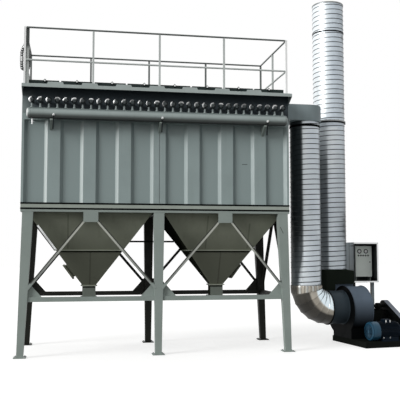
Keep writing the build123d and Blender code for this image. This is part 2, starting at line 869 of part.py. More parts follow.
with BuildPart() as fan_inlet:
    with BuildSketch(Plane.YZ.offset(elbow_radius)):
        with Locations((0, shaft_height)):
            Circle(fan_inlet_radius)
            Circle(fan_inlet_radius - outlet_box_sheet, mode=Mode.SUBTRACT)
    extrude(amount=casing_start - elbow_radius)
    for start in (elbow_radius, casing_start - casing_side_plate):
        with BuildSketch(Plane.YZ.offset(start)):
            with Locations((0, shaft_height)):
                Circle(fan_inlet_radius + 2 * duct_band_lip)
                Circle(fan_inlet_radius - outlet_box_sheet, mode=Mode.SUBTRACT)
        extrude(amount=casing_side_plate)
save(fan_inlet.part.moved(fan_place), "fan_inlet")


def scroll_point(angle, lip):
    """A point of the volute: a log spiral from the tongue, over the top and round to the rear."""
    radius = scroll_start_radius * exp(scroll_growth * angle) + lip
    direction = radians(90 - scroll_start_angle + angle)
    return (radius * cos(direction), shaft_height + radius * sin(direction))


def scroll_face(start, lip):
    """The volute's outline, with its upward discharge at the rear, at a place along the shaft."""
    turn = 270 + scroll_start_angle
    with BuildSketch(Plane.YZ.offset(start)) as outline:
        with BuildLine():
            turns = [turn * step / scroll_steps for step in range(scroll_steps + 1)]
            spiral = Spline(*[scroll_point(angle, lip) for angle in turns])
            Polyline(
                spiral @ 1,
                ((spiral @ 1).X, discharge_top),
                ((spiral @ 0).X, discharge_top),
                spiral @ 0,
            )
        make_face()
    return outline.sketch


with BuildPart() as fan_casing:
    extrude(scroll_face(casing_start, 0), amount=casing_width)
    for start in (casing_start, casing_start + casing_width - casing_side_plate):
        extrude(scroll_face(start, casing_side_lip), amount=casing_side_plate)
    with Locations((casing_start, 0, skid_height)):
        Box(
            casing_width,
            casing_foot_length,
            shaft_height - skid_height,
            align=(Align.MIN, Align.CENTER, Align.MIN),
        )
save(fan_casing.part.moved(fan_place), "fan_casing")

# Square collar on the discharge, hanging down beside the casing, then the stack in two lengths
discharge_rear = scroll_point(270 + scroll_start_angle, 0)[0]
discharge_front = scroll_point(0, 0)[0]
hanging_length = casing_start - casing_side_plate - collar_start
with BuildPart() as stack_transition:
    for inset, mode in ((0, Mode.ADD), (duct_sheet, Mode.SUBTRACT)):
        with BuildSketch(Plane.XY.offset(collar_top)):
            with Locations((collar_start + collar_length / 2, stack_y)):
                Rectangle(collar_length - 2 * inset, collar_depth - 2 * inset)
        with BuildSketch(Plane.XY.offset(stack_bottom)):
            with Locations((stack_x, stack_y)):
                Circle(stack_radius - inset)
        loft(mode=mode)
        with BuildSketch(Plane.XY.offset(discharge_top + inset)):
            with Locations((collar_start + collar_length / 2, stack_y)):
                Rectangle(collar_length - 2 * inset, collar_depth - 2 * inset)
        extrude(amount=collar_top - discharge_top - inset, mode=mode)
        with BuildSketch(Plane.XY.offset(collar_bottom + inset)):
            with Locations((collar_start + hanging_length / 2, stack_y)):
                Rectangle(hanging_length - 2 * inset, collar_depth - 2 * inset)
        extrude(amount=discharge_top - collar_bottom, mode=mode)
    with BuildSketch(Plane.XY.offset(discharge_top)):
        with Locations((casing_start + casing_width / 2, (discharge_rear + discharge_front) / 2)):
            Rectangle(casing_width - 2 * duct_sheet, discharge_rear - discharge_front - 2 * duct_sheet)
    extrude(amount=duct_sheet, mode=Mode.SUBTRACT)
save(stack_transition.part.moved(fan_place), "stack_transition")

for label, bottom, top, flanges in (
    ("stack_lower", stack_bottom, stack_joint, (stack_joint - stack_flange_thickness,)),
    ("stack_upper", stack_joint, stack_top, (stack_joint,)),
):
    with BuildPart() as stack_length:
        with BuildSketch(Plane.XY.offset(bottom)):
            with Locations((stack_x, stack_y)):
                Circle(stack_radius)
                Circle(stack_radius - duct_sheet, mode=Mode.SUBTRACT)
        extrude(amount=top - bottom)
        for level in flanges:
            with BuildSketch(Plane.XY.offset(level)):
                with Locations((stack_x, stack_y)):
                    Circle(stack_radius + stack_flange_lip)
                    Circle(stack_radius - duct_sheet, mode=Mode.SUBTRACT)
            extrude(amount=stack_flange_thickness)
    save(stack_length.part.moved(fan_place), label)

# Skid, bearing pedestal, shaft, motor and belt guard
with BuildPart() as fan_skid:
    with Locations((skid_start, skid_front, 0)):
        Box(skid_length, skid_rear - skid_front, skid_height, align=(Align.MIN, Align.MIN, Align.MIN))
    with Locations((skid_start + skid_wall, skid_front + skid_wall, 0)):
        Box(
            skid_length - 2 * skid_wall,
            skid_rear - skid_front - 2 * skid_wall,
            skid_height - skid_plate,
            align=(Align.MIN, Align.MIN, Align.MIN),
            mode=Mode.SUBTRACT,
        )
save(fan_skid.part.moved(fan_place), "fan_skid")

with BuildPart() as bearing_pedestal:
    with BuildSketch(Plane.YZ.offset(pedestal_start)):
        with BuildLine():
            Polyline(
                (-pedestal_width / 2, skid_height),
                (pedestal_width / 2, skid_height),
                (bearing_size / 2 + pedestal_rim, pedestal_top),
                (-bearing_size / 2 - pedestal_rim, pedestal_top),
                close=True,
            )
        make_face()
    extrude(amount=pedestal_length)
save(bearing_pedestal.part.moved(fan_place), "bearing_pedestal")

casing_end = casing_start + casing_width
with BuildPart() as fan_shaft:
    with BuildSketch(Plane.YZ.offset(casing_end)):
        with Locations((0, shaft_height)):
            Circle(shaft_radius)
    extrude(amount=guard_start - casing_end)
    for start in (pedestal_start, pedestal_start + pedestal_length - bearing_width):
        with BuildSketch(Plane.YZ.offset(start)):
            with Locations((0, shaft_height)):
                Circle(bearing_size / 2)
            with Locations((0, pedestal_top)):
                Rectangle(
                    bearing_size + 2 * bearing_foot_reach,
                    bearing_foot_height,
                    align=(Align.CENTER, Align.MIN),
                )
        extrude(amount=bearing_width)
save(fan_shaft.part.moved(fan_place), "fan_shaft")

motor_end = motor_start + cowl_length + motor_length
with BuildPart() as motor:
    with BuildSketch(Plane.YZ.offset(motor_start)):
        with Locations((motor_y, motor_height)):
            Circle(cowl_radius)
    extrude(amount=cowl_length)
    fillet(motor.edges().group_by(Axis.X)[0], radius=cowl_round)
    with BuildSketch(Plane.YZ.offset(motor_start + cowl_length)):
        with Locations((motor_y, motor_height)):
            Circle(motor_radius)
    extrude(amount=motor_length)
    with BuildSketch(Plane.YZ.offset(motor_end)):
        with Locations((motor_y, motor_height)):
            Circle(motor_shaft_radius)
    extrude(amount=guard_start - motor_end)
    with Locations((motor_start + cowl_length + motor_foot_inset, motor_y, skid_height)):
        Box(
            motor_length - 2 * motor_foot_inset,
            motor_base_width,
            motor_height - skid_height - motor_radius / 2,
            align=(Align.MIN, Align.CENTER, Align.MIN),
        )
        Box(
            motor_length - 2 * motor_foot_inset,
            motor_foot_width,
            motor_foot_height,
            align=(Align.MIN, Align.CENTER, Align.MIN),
        )
save(motor.part.moved(fan_place), "motor")

with BuildPart() as belt_guard:
    with BuildSketch(Plane.YZ.offset(guard_start)):
        with Locations((0, shaft_height)):
            Circle(guard_fan_radius)
        with Locations((motor_y, motor_height)):
            Circle(guard_motor_radius)
        make_hull()
    extrude(amount=guard_width)
    with Locations((guard_start, motor_y, skid_height)):
        Box(
            guard_width,
            guard_motor_radius,
            motor_height - skid_height,
            align=(Align.MIN, Align.CENTER, Align.MIN),
        )
save(belt_guard.part.moved(fan_place), "belt_guard")

# Weather hood, open at the front, on two posts
hood_back = cabinet_front + weather_hood_depth
with BuildPart() as weather_hood:
    with Locations((cabinet_x, cabinet_front, weather_hood_bottom)):
        Box(
            weather_hood_width,
            weather_hood_depth,
            weather_hood_height,
            align=(Align.CENTER, Align.MIN, Align.MIN),
        )
    with Locations((cabinet_x, cabinet_front, weather_hood_bottom + weather_hood_sheet)):
        Box(
            weather_hood_width - 2 * weather_hood_sheet,
            weather_hood_depth - weather_hood_sheet,
            weather_hood_height - 2 * weather_hood_sheet,
            align=(Align.CENTER, Align.MIN, Align.MIN),
            mode=Mode.SUBTRACT,
        )
    with BuildSketch(Plane.XZ.offset(-cabinet_front)):
        with Locations((cabinet_x, weather_hood_bottom + weather_hood_height / 2)):
            Rectangle(weather_hood_width, weather_hood_height)
            Rectangle(
                weather_hood_width - 2 * weather_hood_lip,
                weather_hood_height - 2 * weather_hood_lip,
                mode=Mode.SUBTRACT,
            )
    extrude(amount=-weather_hood_sheet)
save(weather_hood.part, "weather_hood")

cabinet_centre = cabinet_x + cabinet_offset
cabinet_face = cabinet_front + cabinet_recess
cabinet_bottom = weather_hood_bottom + cabinet_lift
with BuildPart() as cabinet_box:
    with Locations((cabinet_centre, cabinet_face + door_thickness, cabinet_bottom)):
        Box(
            cabinet_width,
            cabinet_depth - door_thickness,
            cabinet_height,
            align=(Align.CENTER, Align.MIN, Align.MIN),
        )
    feet_height = cabinet_lift - weather_hood_sheet
    for x_side in (-1, 1):
        foot_x = cabinet_centre + x_side * (cabinet_width / 2 - cabinet_foot_inset)
        with Locations((foot_x, cabinet_face + cabinet_foot_setback, cabinet_bottom)):
            Box(
                cabinet_foot_width,
                cabinet_foot_depth,
                feet_height,
                align=(Align.CENTER, Align.MIN, Align.MAX),
            )
save(cabinet_box.part, "cabinet_box")

with BuildPart() as cabinet_door:
    with Locations((cabinet_centre, cabinet_face, cabinet_bottom)):
        Box(
            cabinet_width,
            door_thickness,
            cabinet_height,
            align=(Align.CENTER, Align.MIN, Align.MIN),
        )
    fillet(cabinet_door.edges().filter_by(Axis.Z).group_by(Axis.Y)[0], radius=door_round)
save(cabinet_door.part, "cabinet_door")

with BuildPart() as cabinet_stand:
    for x_side in (-1, 1):
        with Locations((cabinet_x + x_side * stand_post_x, cabinet_front + stand_setback, 0)):
            Box(
                stand_post,
                stand_post,
                weather_hood_bottom,
                align=(Align.CENTER, Align.CENTER, Align.MIN),
            )
            Box(
                stand_foot,
                stand_foot,
                stand_foot_thickness,
                align=(Align.CENTER, Align.CENTER, Align.MIN),
            )
save(cabinet_stand.part, "cabinet_stand")

# Cable trunking from the skid along the floor and up the right-hand post
trunking_x = cabinet_x + stand_post_x
post_front = cabinet_front + stand_setback - stand_post / 2
with BuildPart() as cable_trunking:
    with Locations((trunking_x, post_front, 0)):
        Box(
            trunking_width,
            trunking_depth,
            weather_hood_bottom,
            align=(Align.CENTER, Align.MAX, Align.MIN),
        )
        Box(
            trunking_width,
            2 * stand_foot,
            trunking_depth,
            align=(Align.CENTER, Align.MAX, Align.MIN),
        )
    add(fan_skid.part.moved(fan_place), mode=Mode.SUBTRACT)
    add(cabinet_stand.part, mode=Mode.SUBTRACT)
    cable_trunking.part = Part() + cable_trunking.part.solids().sort_by(Axis.Z)[-1]
save(cable_trunking.part, "cable_trunking")
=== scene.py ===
import bmesh
import bpy
import numpy as np
from mathutils import Euler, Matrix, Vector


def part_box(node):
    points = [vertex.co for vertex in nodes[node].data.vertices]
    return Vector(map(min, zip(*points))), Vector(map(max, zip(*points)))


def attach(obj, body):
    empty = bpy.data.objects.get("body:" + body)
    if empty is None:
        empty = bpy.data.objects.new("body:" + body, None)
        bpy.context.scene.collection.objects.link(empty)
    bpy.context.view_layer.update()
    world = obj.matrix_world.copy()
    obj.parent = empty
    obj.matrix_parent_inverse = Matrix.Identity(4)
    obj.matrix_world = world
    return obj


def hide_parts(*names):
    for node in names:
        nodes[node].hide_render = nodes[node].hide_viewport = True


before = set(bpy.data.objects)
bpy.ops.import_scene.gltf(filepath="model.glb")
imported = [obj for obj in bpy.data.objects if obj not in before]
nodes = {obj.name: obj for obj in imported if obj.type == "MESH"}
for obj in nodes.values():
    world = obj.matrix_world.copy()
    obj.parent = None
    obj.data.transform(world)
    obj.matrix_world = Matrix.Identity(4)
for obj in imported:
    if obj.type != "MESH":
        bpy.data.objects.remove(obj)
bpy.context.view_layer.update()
plantBody, doorBody = "plant", "cabinet_door"
toRight, toLeft, toRear, toFront = (1, 0, 0), (-1, 0, 0), (0, 1, 0), (0, -1, 0)
upward, downward = (0, 0, 1), (0, 0, -1)
print("frame loaded with", len(nodes), "nodes")


# camera and picture

view = {
    "place": (-1.69, -15.25, 2.03),
    "turnRight": 10.06,  # degrees away from looking straight to the rear
    "lookUp": 4.13,
    "focalPixels": 715.0,
    "pictureWidth": 400,
    "sensorWidth": 36.0,
}
cameraData = bpy.data.cameras.new("camera")
cameraData.sensor_width = view["sensorWidth"]
cameraData.lens = view["focalPixels"] / view["pictureWidth"] * view["sensorWidth"]
camera = bpy.data.objects.new("camera", cameraData)
camera.location = view["place"]
camera.rotation_euler = Euler((np.radians(90 + view["lookUp"]), 0, np.radians(-view["turnRight"])))
bpy.context.scene.collection.objects.link(camera)
bpy.context.scene.camera = camera
bpy.context.scene.view_settings.view_transform = "Standard"


# grids, and the meshes made from them

def gridFaces(rows, columns, copies=1, wrap=True):
    # a face joins each point with its neighbour along the row and with both in the next row
    row = np.arange(rows - 1)[:, None]
    column = np.arange(columns if wrap else columns - 1)[None, :]
    following = (column + 1) % columns
    one = np.stack(
        [row * columns + column, row * columns + following,
         (row + 1) * columns + following, (row + 1) * columns + column], axis=-1
    ).reshape(-1, 4)
    return (np.arange(copies)[:, None, None] * rows * columns + one).reshape(-1, 4)


def makePiece(name, points, faces, material, slot, body=plantBody, sharpAngle=35, bevel=0, turnPoints=None):
    # the mesh of an array of points and an array of faces, with closed poles and outward faces
    points = points.reshape(-1, 3)
    if turnPoints is not None:
        points = turnPoints(points)
    mesh = bpy.data.meshes.new(name)
    mesh.from_pydata(points.tolist(), [], faces.tolist())
    work = bmesh.new()
    work.from_mesh(mesh)
    bmesh.ops.remove_doubles(work, verts=work.verts, dist=1e-5)
    bmesh.ops.dissolve_degenerate(work, edges=work.edges, dist=1e-6)
    bmesh.ops.recalc_face_normals(work, faces=work.faces)
    work.to_mesh(mesh)
    work.free()
    mesh.shade_smooth()
    mesh.set_sharp_from_angle(angle=np.radians(sharpAngle))
    mesh.materials.append(material)
    piece = bpy.data.objects.new(name, mesh)
    bpy.context.scene.collection.objects.link(piece)
    if bevel:
        edge = piece.modifiers.new("edge", "BEVEL")
        edge.width = bevel
        edge.segments = 2
        edge.limit_method = "ANGLE"
    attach(piece, body)
    return piece


def fullTurn(count):
    # equally spaced angles round an axis
    return np.arange(count) / count * 2 * np.pi


def revolved(profile, sides):
    # a point is (r cos a, r sin a, h) for each (r, h) of the profile and each angle a round the axis
    radius, height = np.array(profile, float).T
    angle = fullTurn(sides)
    return np.stack(
        [radius[:, None] * np.cos(angle), radius[:, None] * np.sin(angle),
         np.repeat(height[:, None], sides, axis=1)], axis=-1
    )


def placed(grid, origins, axis):
    # copies of a grid: x and y across the axis, z along it, from each origin
    origins = np.atleast_2d(np.array(origins, float))
    axis = np.broadcast_to(np.array(axis, float), origins.shape)
    axis = axis / np.linalg.norm(axis, axis=1, keepdims=True)
    helper = np.where(np.abs(axis[:, 2:]) < 0.9, [[0.0, 0.0, 1.0]], [[1.0, 0.0, 0.0]])
    across = np.cross(helper, axis)
    across = across / np.linalg.norm(across, axis=1, keepdims=True)
    other = np.cross(axis, across)
    return (
        origins[:, None, None, :]
        + grid[None, ..., 0:1] * across[:, None, None, :]
        + grid[None, ..., 1:2] * other[:, None, None, :]
        + grid[None, ..., 2:3] * axis[:, None, None, :]
    )


def closedOutline(profile):
    # an open ring gets its first point again, and an open end gets a point on the axis
    first, last = profile[0], profile[-1]
    if first[0] > 0 and last[0] > 0:
        return profile if first == last else [*profile, first]
    return [(0, first[1])] * (first[0] > 0) + list(profile) + [(0, last[1])] * (last[0] > 0)


def makeTurned(name, profile, sides, origins, axis, material, slot, **more):
    # turned parts, one at each origin, as a single piece
    grid = revolved(closedOutline(profile), sides)
    points = placed(grid, origins, axis)
    return makePiece(name, points, gridFaces(len(grid), sides, len(points)), material, slot, **more)


def swept(section, path, up):
    # the section's (across, up) is carried along the path, and closed by a point at each end
    path = np.array(path, float)
    section = np.array(section, float)
    forward = np.gradient(path, axis=0)
    forward = forward / np.linalg.norm(forward, axis=1, keepdims=True)
    across = np.cross(forward, np.array(up, float))
    across = across / np.linalg.norm(across, axis=1, keepdims=True)
    upward = np.cross(across, forward)
    path, across, upward = (np.concatenate([a[:1], a, a[-1:]]) for a in (path, across, upward))
    size = np.ones(len(path))
    size[[0, -1]] = 0
    return (
        path[:, None, :]
        + (size[:, None] * section[:, 0])[..., None] * across[:, None, :]
        + (size[:, None] * section[:, 1])[..., None] * upward[:, None, :]
    )


def circle(radius, sides):
    # points of a round section
    angle = fullTurn(sides)
    return np.stack([radius * np.cos(angle), radius * np.sin(angle)], axis=-1)


def flatBar(width, thickness):
    # corners of a flat section, from half its sizes
    return [(-width, -thickness), (width, -thickness), (width, thickness), (-width, thickness)]


def makeRun(name, section, paths, up, material, slot, **more):
    # runs of one section along several paths with equally many points
    grids = np.stack([swept(section, path, up) for path in paths])
    faces = gridFaces(grids.shape[1], grids.shape[2], len(grids))
    return makePiece(name, grids, faces, material, slot, **more)


def boxFaces(count):
    # six faces for each eight corners, which are numbered along x, then y, then z
    one = np.array([[0, 2, 3, 1], [4, 5, 7, 6], [0, 1, 5, 4], [2, 6, 7, 3], [0, 4, 6, 2], [1, 3, 7, 5]])
    return (np.arange(count)[:, None, None] * 8 + one).reshape(-1, 4)


def makeBlocks(name, centres, sizes, material, slot, **more):
    # blocks: each corner is the centre plus or minus half the size
    signs = np.array([[x, y, z] for z in (-1, 1) for y in (-1, 1) for x in (-1, 1)], float)
    centres = np.atleast_2d(np.array(centres, float))
    points = centres[:, None] + signs * np.array(sizes, float) / 2
    return makePiece(name, points, boxFaces(len(centres)), material, slot, **more)


def boltProfile(size, height):
    # half outline of a screw head with a chamfer, on a thin washer
    return [(0, -0.001), (size * 0.95, -0.001), (size * 0.95, size * 0.12), (size * 0.8, size * 0.12),
            (size * 0.8, height * 0.85), (size * 0.66, height), (0, height)]


# materials

def tone(red, green, blue):
    # a colour as the picture shows it, made linear
    part = np.array([red, green, blue]) / 255
    return (*np.where(part <= 0.04045, part / 12.92, ((part + 0.055) / 1.055) ** 2.4), 1.0)


def newGroup(name, inputs, outputs):
    group = bpy.data.node_groups.new(name, "ShaderNodeTree")
    for label, kind, value in inputs:
        socket = group.interface.new_socket(name=label, in_out="INPUT", socket_type=kind)
        if value is not None:
            socket.default_value = value
    for label, kind in outputs:
        group.interface.new_socket(name=label, in_out="OUTPUT", socket_type=kind)
    return group, group.nodes.new("NodeGroupInput"), group.nodes.new("NodeGroupOutput")


def addMath(tree, kind, first, second):
    node = tree.nodes.new("ShaderNodeMath")
    node.operation = kind
    for socket, value in zip(node.inputs, (first, second)):
        if isinstance(value, (int, float)):
            socket.default_value = value
        else:
            tree.links.new(value, socket)
    return node.outputs[0]


def addMix(tree, factor, first, second, blend="MIX"):
    node = tree.nodes.new("ShaderNodeMix")
    node.data_type = "RGBA"
    node.blend_type = blend
    for socket, value in zip((node.inputs[0], node.inputs[6], node.inputs[7]), (factor, first, second)):
        if isinstance(value, (int, float, tuple)):
            socket.default_value = value
        else:
            tree.links.new(value, socket)
    return node.outputs[2]


def addNoise(tree, vector, scale, detail=4.0, stretch=None):
    if stretch is not None:
        mapping = tree.nodes.new("ShaderNodeMapping")
        mapping.inputs["Scale"].default_value = stretch
        tree.links.new(vector, mapping.inputs["Vector"])
        vector = mapping.outputs[0]
    node = tree.nodes.new("ShaderNodeTexNoise")
    node.inputs["Detail"].default_value = detail
    if isinstance(scale, (int, float)):
        node.inputs["Scale"].default_value = scale
    else:
        tree.links.new(scale, node.inputs["Scale"])
    tree.links.new(vector, node.inputs["Vector"])
    return node.outputs["Fac"]


def addRange(tree, value, low, high, toLow=0.0, toHigh=1.0):
    node = tree.nodes.new("ShaderNodeMapRange")
    for label, number in (("From Min", low), ("From Max", high), ("To Min", toLow), ("To Max", toHigh)):
        node.inputs[label].default_value = number
    tree.links.new(value, node.inputs["Value"])
    return node.outputs[0]


def makeAgedPaint():
    # sprayed paint: cloudy colour, streaks that run down, an uneven gloss and a fine orange peel
    group, given, out = newGroup(
        "agedPaint",
        [("Vector", "NodeSocketVector", None), ("Paint", "NodeSocketColor", tone(128, 138, 134)),
         ("Cloud", "NodeSocketFloat", 0.1), ("Streaks", "NodeSocketFloat", 0.2),
         ("Gloss", "NodeSocketFloat", 0.45)],
        [("Color", "NodeSocketColor"), ("Roughness", "NodeSocketFloat"), ("Height", "NodeSocketFloat")],
    )
    vector = given.outputs["Vector"]
    cloud = addRange(group, addNoise(group, vector, 1.7, 5.0), 0.3, 0.7)
    streak = addRange(group, addNoise(group, vector, 1.0, 3.0, stretch=(9.0, 9.0, 0.7)), 0.52, 0.78)
    speck = addRange(group, addNoise(group, vector, 60.0, 2.0), 0.66, 0.72)
    dark = addMix(group, 1.0, given.outputs["Paint"], (0.86, 0.87, 0.86, 1.0), "MULTIPLY")
    light = addMix(group, 1.0, given.outputs["Paint"], (1.12, 1.12, 1.12, 1.0), "MULTIPLY")
    cloudy = addMix(group, cloud, dark, light)
    clouds = addMath(group, "MULTIPLY", given.outputs["Cloud"], 5.0)
    base = addMix(group, clouds, given.outputs["Paint"], cloudy)
    grime = addMix(group, 1.0, base, (0.55, 0.54, 0.5, 1.0), "MULTIPLY")
    streaked = addMix(group, addMath(group, "MULTIPLY", streak, given.outputs["Streaks"]), base, grime)
    specked = addMix(group, addMath(group, "MULTIPLY", speck, 0.25), streaked, grime)
    group.links.new(specked, out.inputs["Color"])
    uneven = addRange(group, addNoise(group, vector, 6.0, 3.0), 0.3, 0.7, -0.08, 0.1)
    group.links.new(addMath(group, "ADD", given.outputs["Gloss"], uneven), out.inputs["Roughness"])
    group.links.new(addNoise(group, vector, 140.0, 2.0), out.inputs["Height"])
    return group


def makeZinc():
    # galvanised sheet: flat crystals of slightly different grey, and cloudy dull patches
    group, given, out = newGroup(
        "zincSheet",
        [("Vector", "NodeSocketVector", None), ("Metal", "NodeSocketColor", tone(200, 205, 212)),
         ("Spangle", "NodeSocketFloat", 0.3), ("Dull", "NodeSocketFloat", 0.3)],
        [("Color", "NodeSocketColor"), ("Roughness", "NodeSocketFloat"), ("Height", "NodeSocketFloat")],
    )
    vector = given.outputs["Vector"]
    cells = group.nodes.new("ShaderNodeTexVoronoi")
    cells.inputs["Scale"].default_value = 38.0
    group.links.new(vector, cells.inputs["Vector"])
    grey = group.nodes.new("ShaderNodeSeparateColor")
    group.links.new(cells.outputs["Color"], grey.inputs[0])
    crystal = addMix(group, grey.outputs[0], (0.8, 0.8, 0.82, 1.0), (1.08, 1.08, 1.08, 1.0))
    spangled = addMix(group, given.outputs["Spangle"], given.outputs["Metal"],
                      addMix(group, 1.0, given.outputs["Metal"], crystal, "MULTIPLY"))
    patch = addRange(group, addNoise(group, vector, 3.2, 4.0), 0.45, 0.7)
    dull = addMix(group, 1.0, spangled, (0.72, 0.73, 0.74, 1.0), "MULTIPLY")
    group.links.new(addMix(group, addMath(group, "MULTIPLY", patch, given.outputs["Dull"]), spangled, dull),
                    out.inputs["Color"])
    rough = addMath(group, "ADD", 0.3, addMath(group, "MULTIPLY", patch, 0.2))
    group.links.new(addMath(group, "ADD", rough, addMath(group, "MULTIPLY", grey.outputs[0], 0.08)),
                    out.inputs["Roughness"])
    group.links.new(addNoise(group, vector, 25.0, 2.0), out.inputs["Height"])
    return group


agedPaint = makeAgedPaint()
zincSheet = makeZinc()


def newMaterial(name, group, values, metallic=0.0, specular=0.5):
    # a material with the group's colour, gloss and grain on a principled shader
    material = bpy.data.materials.new(name)
    material.use_nodes = True
    tree = material.node_tree
    shader = tree.nodes["Principled BSDF"]
    shader.inputs["Metallic"].default_value = metallic
    shader.inputs["Specular IOR Level"].default_value = specular
    place = tree.nodes.new("ShaderNodeTexCoord")
    look = tree.nodes.new("ShaderNodeGroup")
    look.node_tree = group
    look.name = "look"
    for label, value in values.items():
        look.inputs[label].default_value = value
    tree.links.new(place.outputs["Object"], look.inputs["Vector"])
    tree.links.new(look.outputs["Color"], shader.inputs["Base Color"])
    tree.links.new(look.outputs["Roughness"], shader.inputs["Roughness"])
    grain = tree.nodes.new("ShaderNodeBump")
    grain.inputs["Distance"].default_value = 0.0006
    grain.inputs["Strength"].default_value = 0.4
    tree.links.new(look.outputs["Height"], grain.inputs["Height"])
    tree.links.new(grain.outputs["Normal"], shader.inputs["Normal"])
    return material


def overlay(material, mask, colour):
    # another colour on top wherever the mask is 1
    tree = material.node_tree
    shader = tree.nodes["Principled BSDF"]
    below = shader.inputs["Base Color"].links[0].from_socket
    tree.links.new(addMix(tree, mask(tree), below, colour), shader.inputs["Base Color"])


def shining(material, mask, low, high):
    # metallic goes from low to high with the mask
    tree = material.node_tree
    shader = tree.nodes["Principled BSDF"]
    tree.links.new(addRange(tree, mask(tree), 0.0, 1.0, low, high), shader.inputs["Metallic"])


def alongMask(direction, low, high, amount=1.0, start=0.0, source="Object"):
    # goes from start to amount while the point's distance along a direction goes from low to high
    def mask(tree):
        if source == "Normal":
            vector = tree.nodes.new("ShaderNodeNewGeometry").outputs["Normal"]
        else:
            vector = tree.nodes.new("ShaderNodeTexCoord").outputs["Object"]
        if source == "Mirrored":
            absolute = tree.nodes.new("ShaderNodeVectorMath")
            absolute.operation = "ABSOLUTE"
            tree.links.new(vector, absolute.inputs[0])
            vector = absolute.outputs["Vector"]
        node = tree.nodes.new("ShaderNodeVectorMath")
        node.operation = "DOT_PRODUCT"
        node.inputs[1].default_value = direction
        tree.links.new(vector, node.inputs[0])
        return addRange(tree, node.outputs["Value"], low, high, start, amount)
    return mask


def facing(direction, low, high, amount=1.0):
    # the same for the surface's own direction
    return alongMask(direction, low, high, amount, source="Normal")


def opposite(direction):
    return tuple(-part for part in direction)


def between(direction, low, high, soft, amount=1.0):
    # a stripe from low to high along a direction
    return allOf(alongMask(direction, low - soft, low, amount), alongMask(opposite(direction), -high - soft, -high))


def allOf(*masks):
    # where all the masks hold
    def mask(tree):
        value = masks[0](tree)
        for other in masks[1:]:
            value = addMath(tree, "MULTIPLY", value, other(tree))
        return value
    return mask


def attributeMask(label):
    # a value that a piece carries on its points
    def mask(tree):
        node = tree.nodes.new("ShaderNodeAttribute")
        node.attribute_name = label
        return node.outputs["Fac"]
    return mask


colours = {  # as the picture shows them
    "wall": (142, 156, 155), "wallRecessShade": (135, 149, 148), "wallSlopeLight": (212, 220, 217),
    "wallShade": (112, 126, 126), "frame": (143, 153, 148), "frameShadeAndMark": (24, 25, 21),
    "base": (158, 166, 158), "brace": (186, 188, 179), "braceLow": (142, 146, 142),
    "braceEdgeShade": (62, 65, 59), "hopper": (142, 146, 131), "hopperLow": (112, 115, 102),
    "hopperShade": (30, 33, 26), "hopperNeck": (124, 131, 123), "hopperLitEdge": (168, 173, 160),
    "recessShade": (58, 66, 71), "recessShadeLow": (80, 88, 92), "recessShadeEnd": (138, 148, 147),
    "header": (152, 163, 161), "headerTopShade": (102, 112, 111), "headerShade": (70, 76, 74),
    "cover": (34, 44, 43), "hood": (168, 178, 176), "outlet": (142, 155, 158),
    "rail": (190, 195, 193), "railShade": (104, 109, 107), "railPale": (214, 218, 215),
    "ductZinc": (206, 216, 224), "ductReflection": (240, 246, 249), "ductSeam": (38, 43, 47),
    "deepShade": (40, 48, 51), "elbowZinc": (216, 209, 195), "elbowSeam": (44, 44, 42),
    "skyReflection": (236, 249, 255), "brown": (150, 142, 128), "brownBlack": (26, 24, 18),
    "fan": (96, 108, 121), "fanShade": (10, 12, 13), "drum": (56, 66, 73),
    "transition": (36, 42, 36), "skid": (27, 29, 27), "guard": (112, 118, 128),
    "cowl": (30, 70, 92), "motor": (12, 22, 32), "cabinet": (150, 158, 154),
    "stand": (150, 158, 154), "door": (232, 240, 234), "cabinetHood": (144, 155, 160),
    "hoodInsideShade": (72, 77, 76), "dark": (24, 27, 29), "loop": (24, 27, 29),
    "blackAndShade": (8, 10, 10), "whiteAndHighlight": (240, 241, 240), "valveAlloy": (30, 36, 38),
    "gleam": (252, 253, 253), "stemAlloy": (132, 141, 141), "drainAlloy": (112, 122, 122),
    "drainBar": (246, 248, 248), "lipMetal": (214, 216, 216), "boltZinc": (150, 153, 153),
}
paints = {name: tone(*colour) for name, colour in colours.items()}
alongShaft = (0.99027, 0.13917, 0.0)  # the fan's shaft, 8 degrees from the housing's length
againstShaft = opposite(alongShaft)
drumFront = -3.4 * alongShaft[0] - 0.89  # where the drum meets the casing, along that direction


def painted(finish, specular=0.15, **values):
    # a paint in the colour of the same name
    return newMaterial(finish + "Paint", agedPaint, {"Paint": paints[finish], **values}, specular=specular)


def zinced(finish, metallic, specular=0.5, **values):
    # bare metal in the colour of the same name
    return newMaterial(finish, zincSheet, {"Metal": paints[finish], **values}, metallic, specular)


def addCoats(material, *coats):
    # colours over one another, each where its mask is 1
    for colour, mask in coats:
        overlay(material, mask, paints[colour])


def middleX(node):
    low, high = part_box(node)
    return (low.x + high.x) / 2


wallPaint = painted("wall", specular=0.4, Streaks=0.12, Gloss=0.42)
slopeLightStrength = allOf(alongMask(toRight, -2.3, 0.6, 0.14, start=0.7),
                      alongMask(toRight, -2.68, -2.62, 1.0, start=0.3),
                      alongMask(toFront, 1.02, 1.05, 1.0, start=0.5))
dash = allOf(between(toRight, 1.72, 1.82, 0.012), between(upward, 3.813, 3.823, 0.006))
addCoats(
    wallPaint,
    # painted shade on everything set back from the front face, the recessed pans among them
    ("wallRecessShade", alongMask(toRear, -1.064, -1.056)),
    ("wallSlopeLight", allOf(facing(toLeft, 0.35, 0.6), slopeLightStrength)),  # painted light on the ribs' left-facing flanks, brighter towards the left
    ("wallShade", allOf(alongMask(toLeft, 2.69, 2.695), facing(toLeft, 0.7, 0.9))),
    # a short dark dash on the front wall, in the recess's shade colour
    ("recessShade", allOf(dash, alongMask(toFront, 0.9, 0.91, 0.85))),
    ("wallShade", facing(toRight, 0.35, 0.6, 0.8)),
)

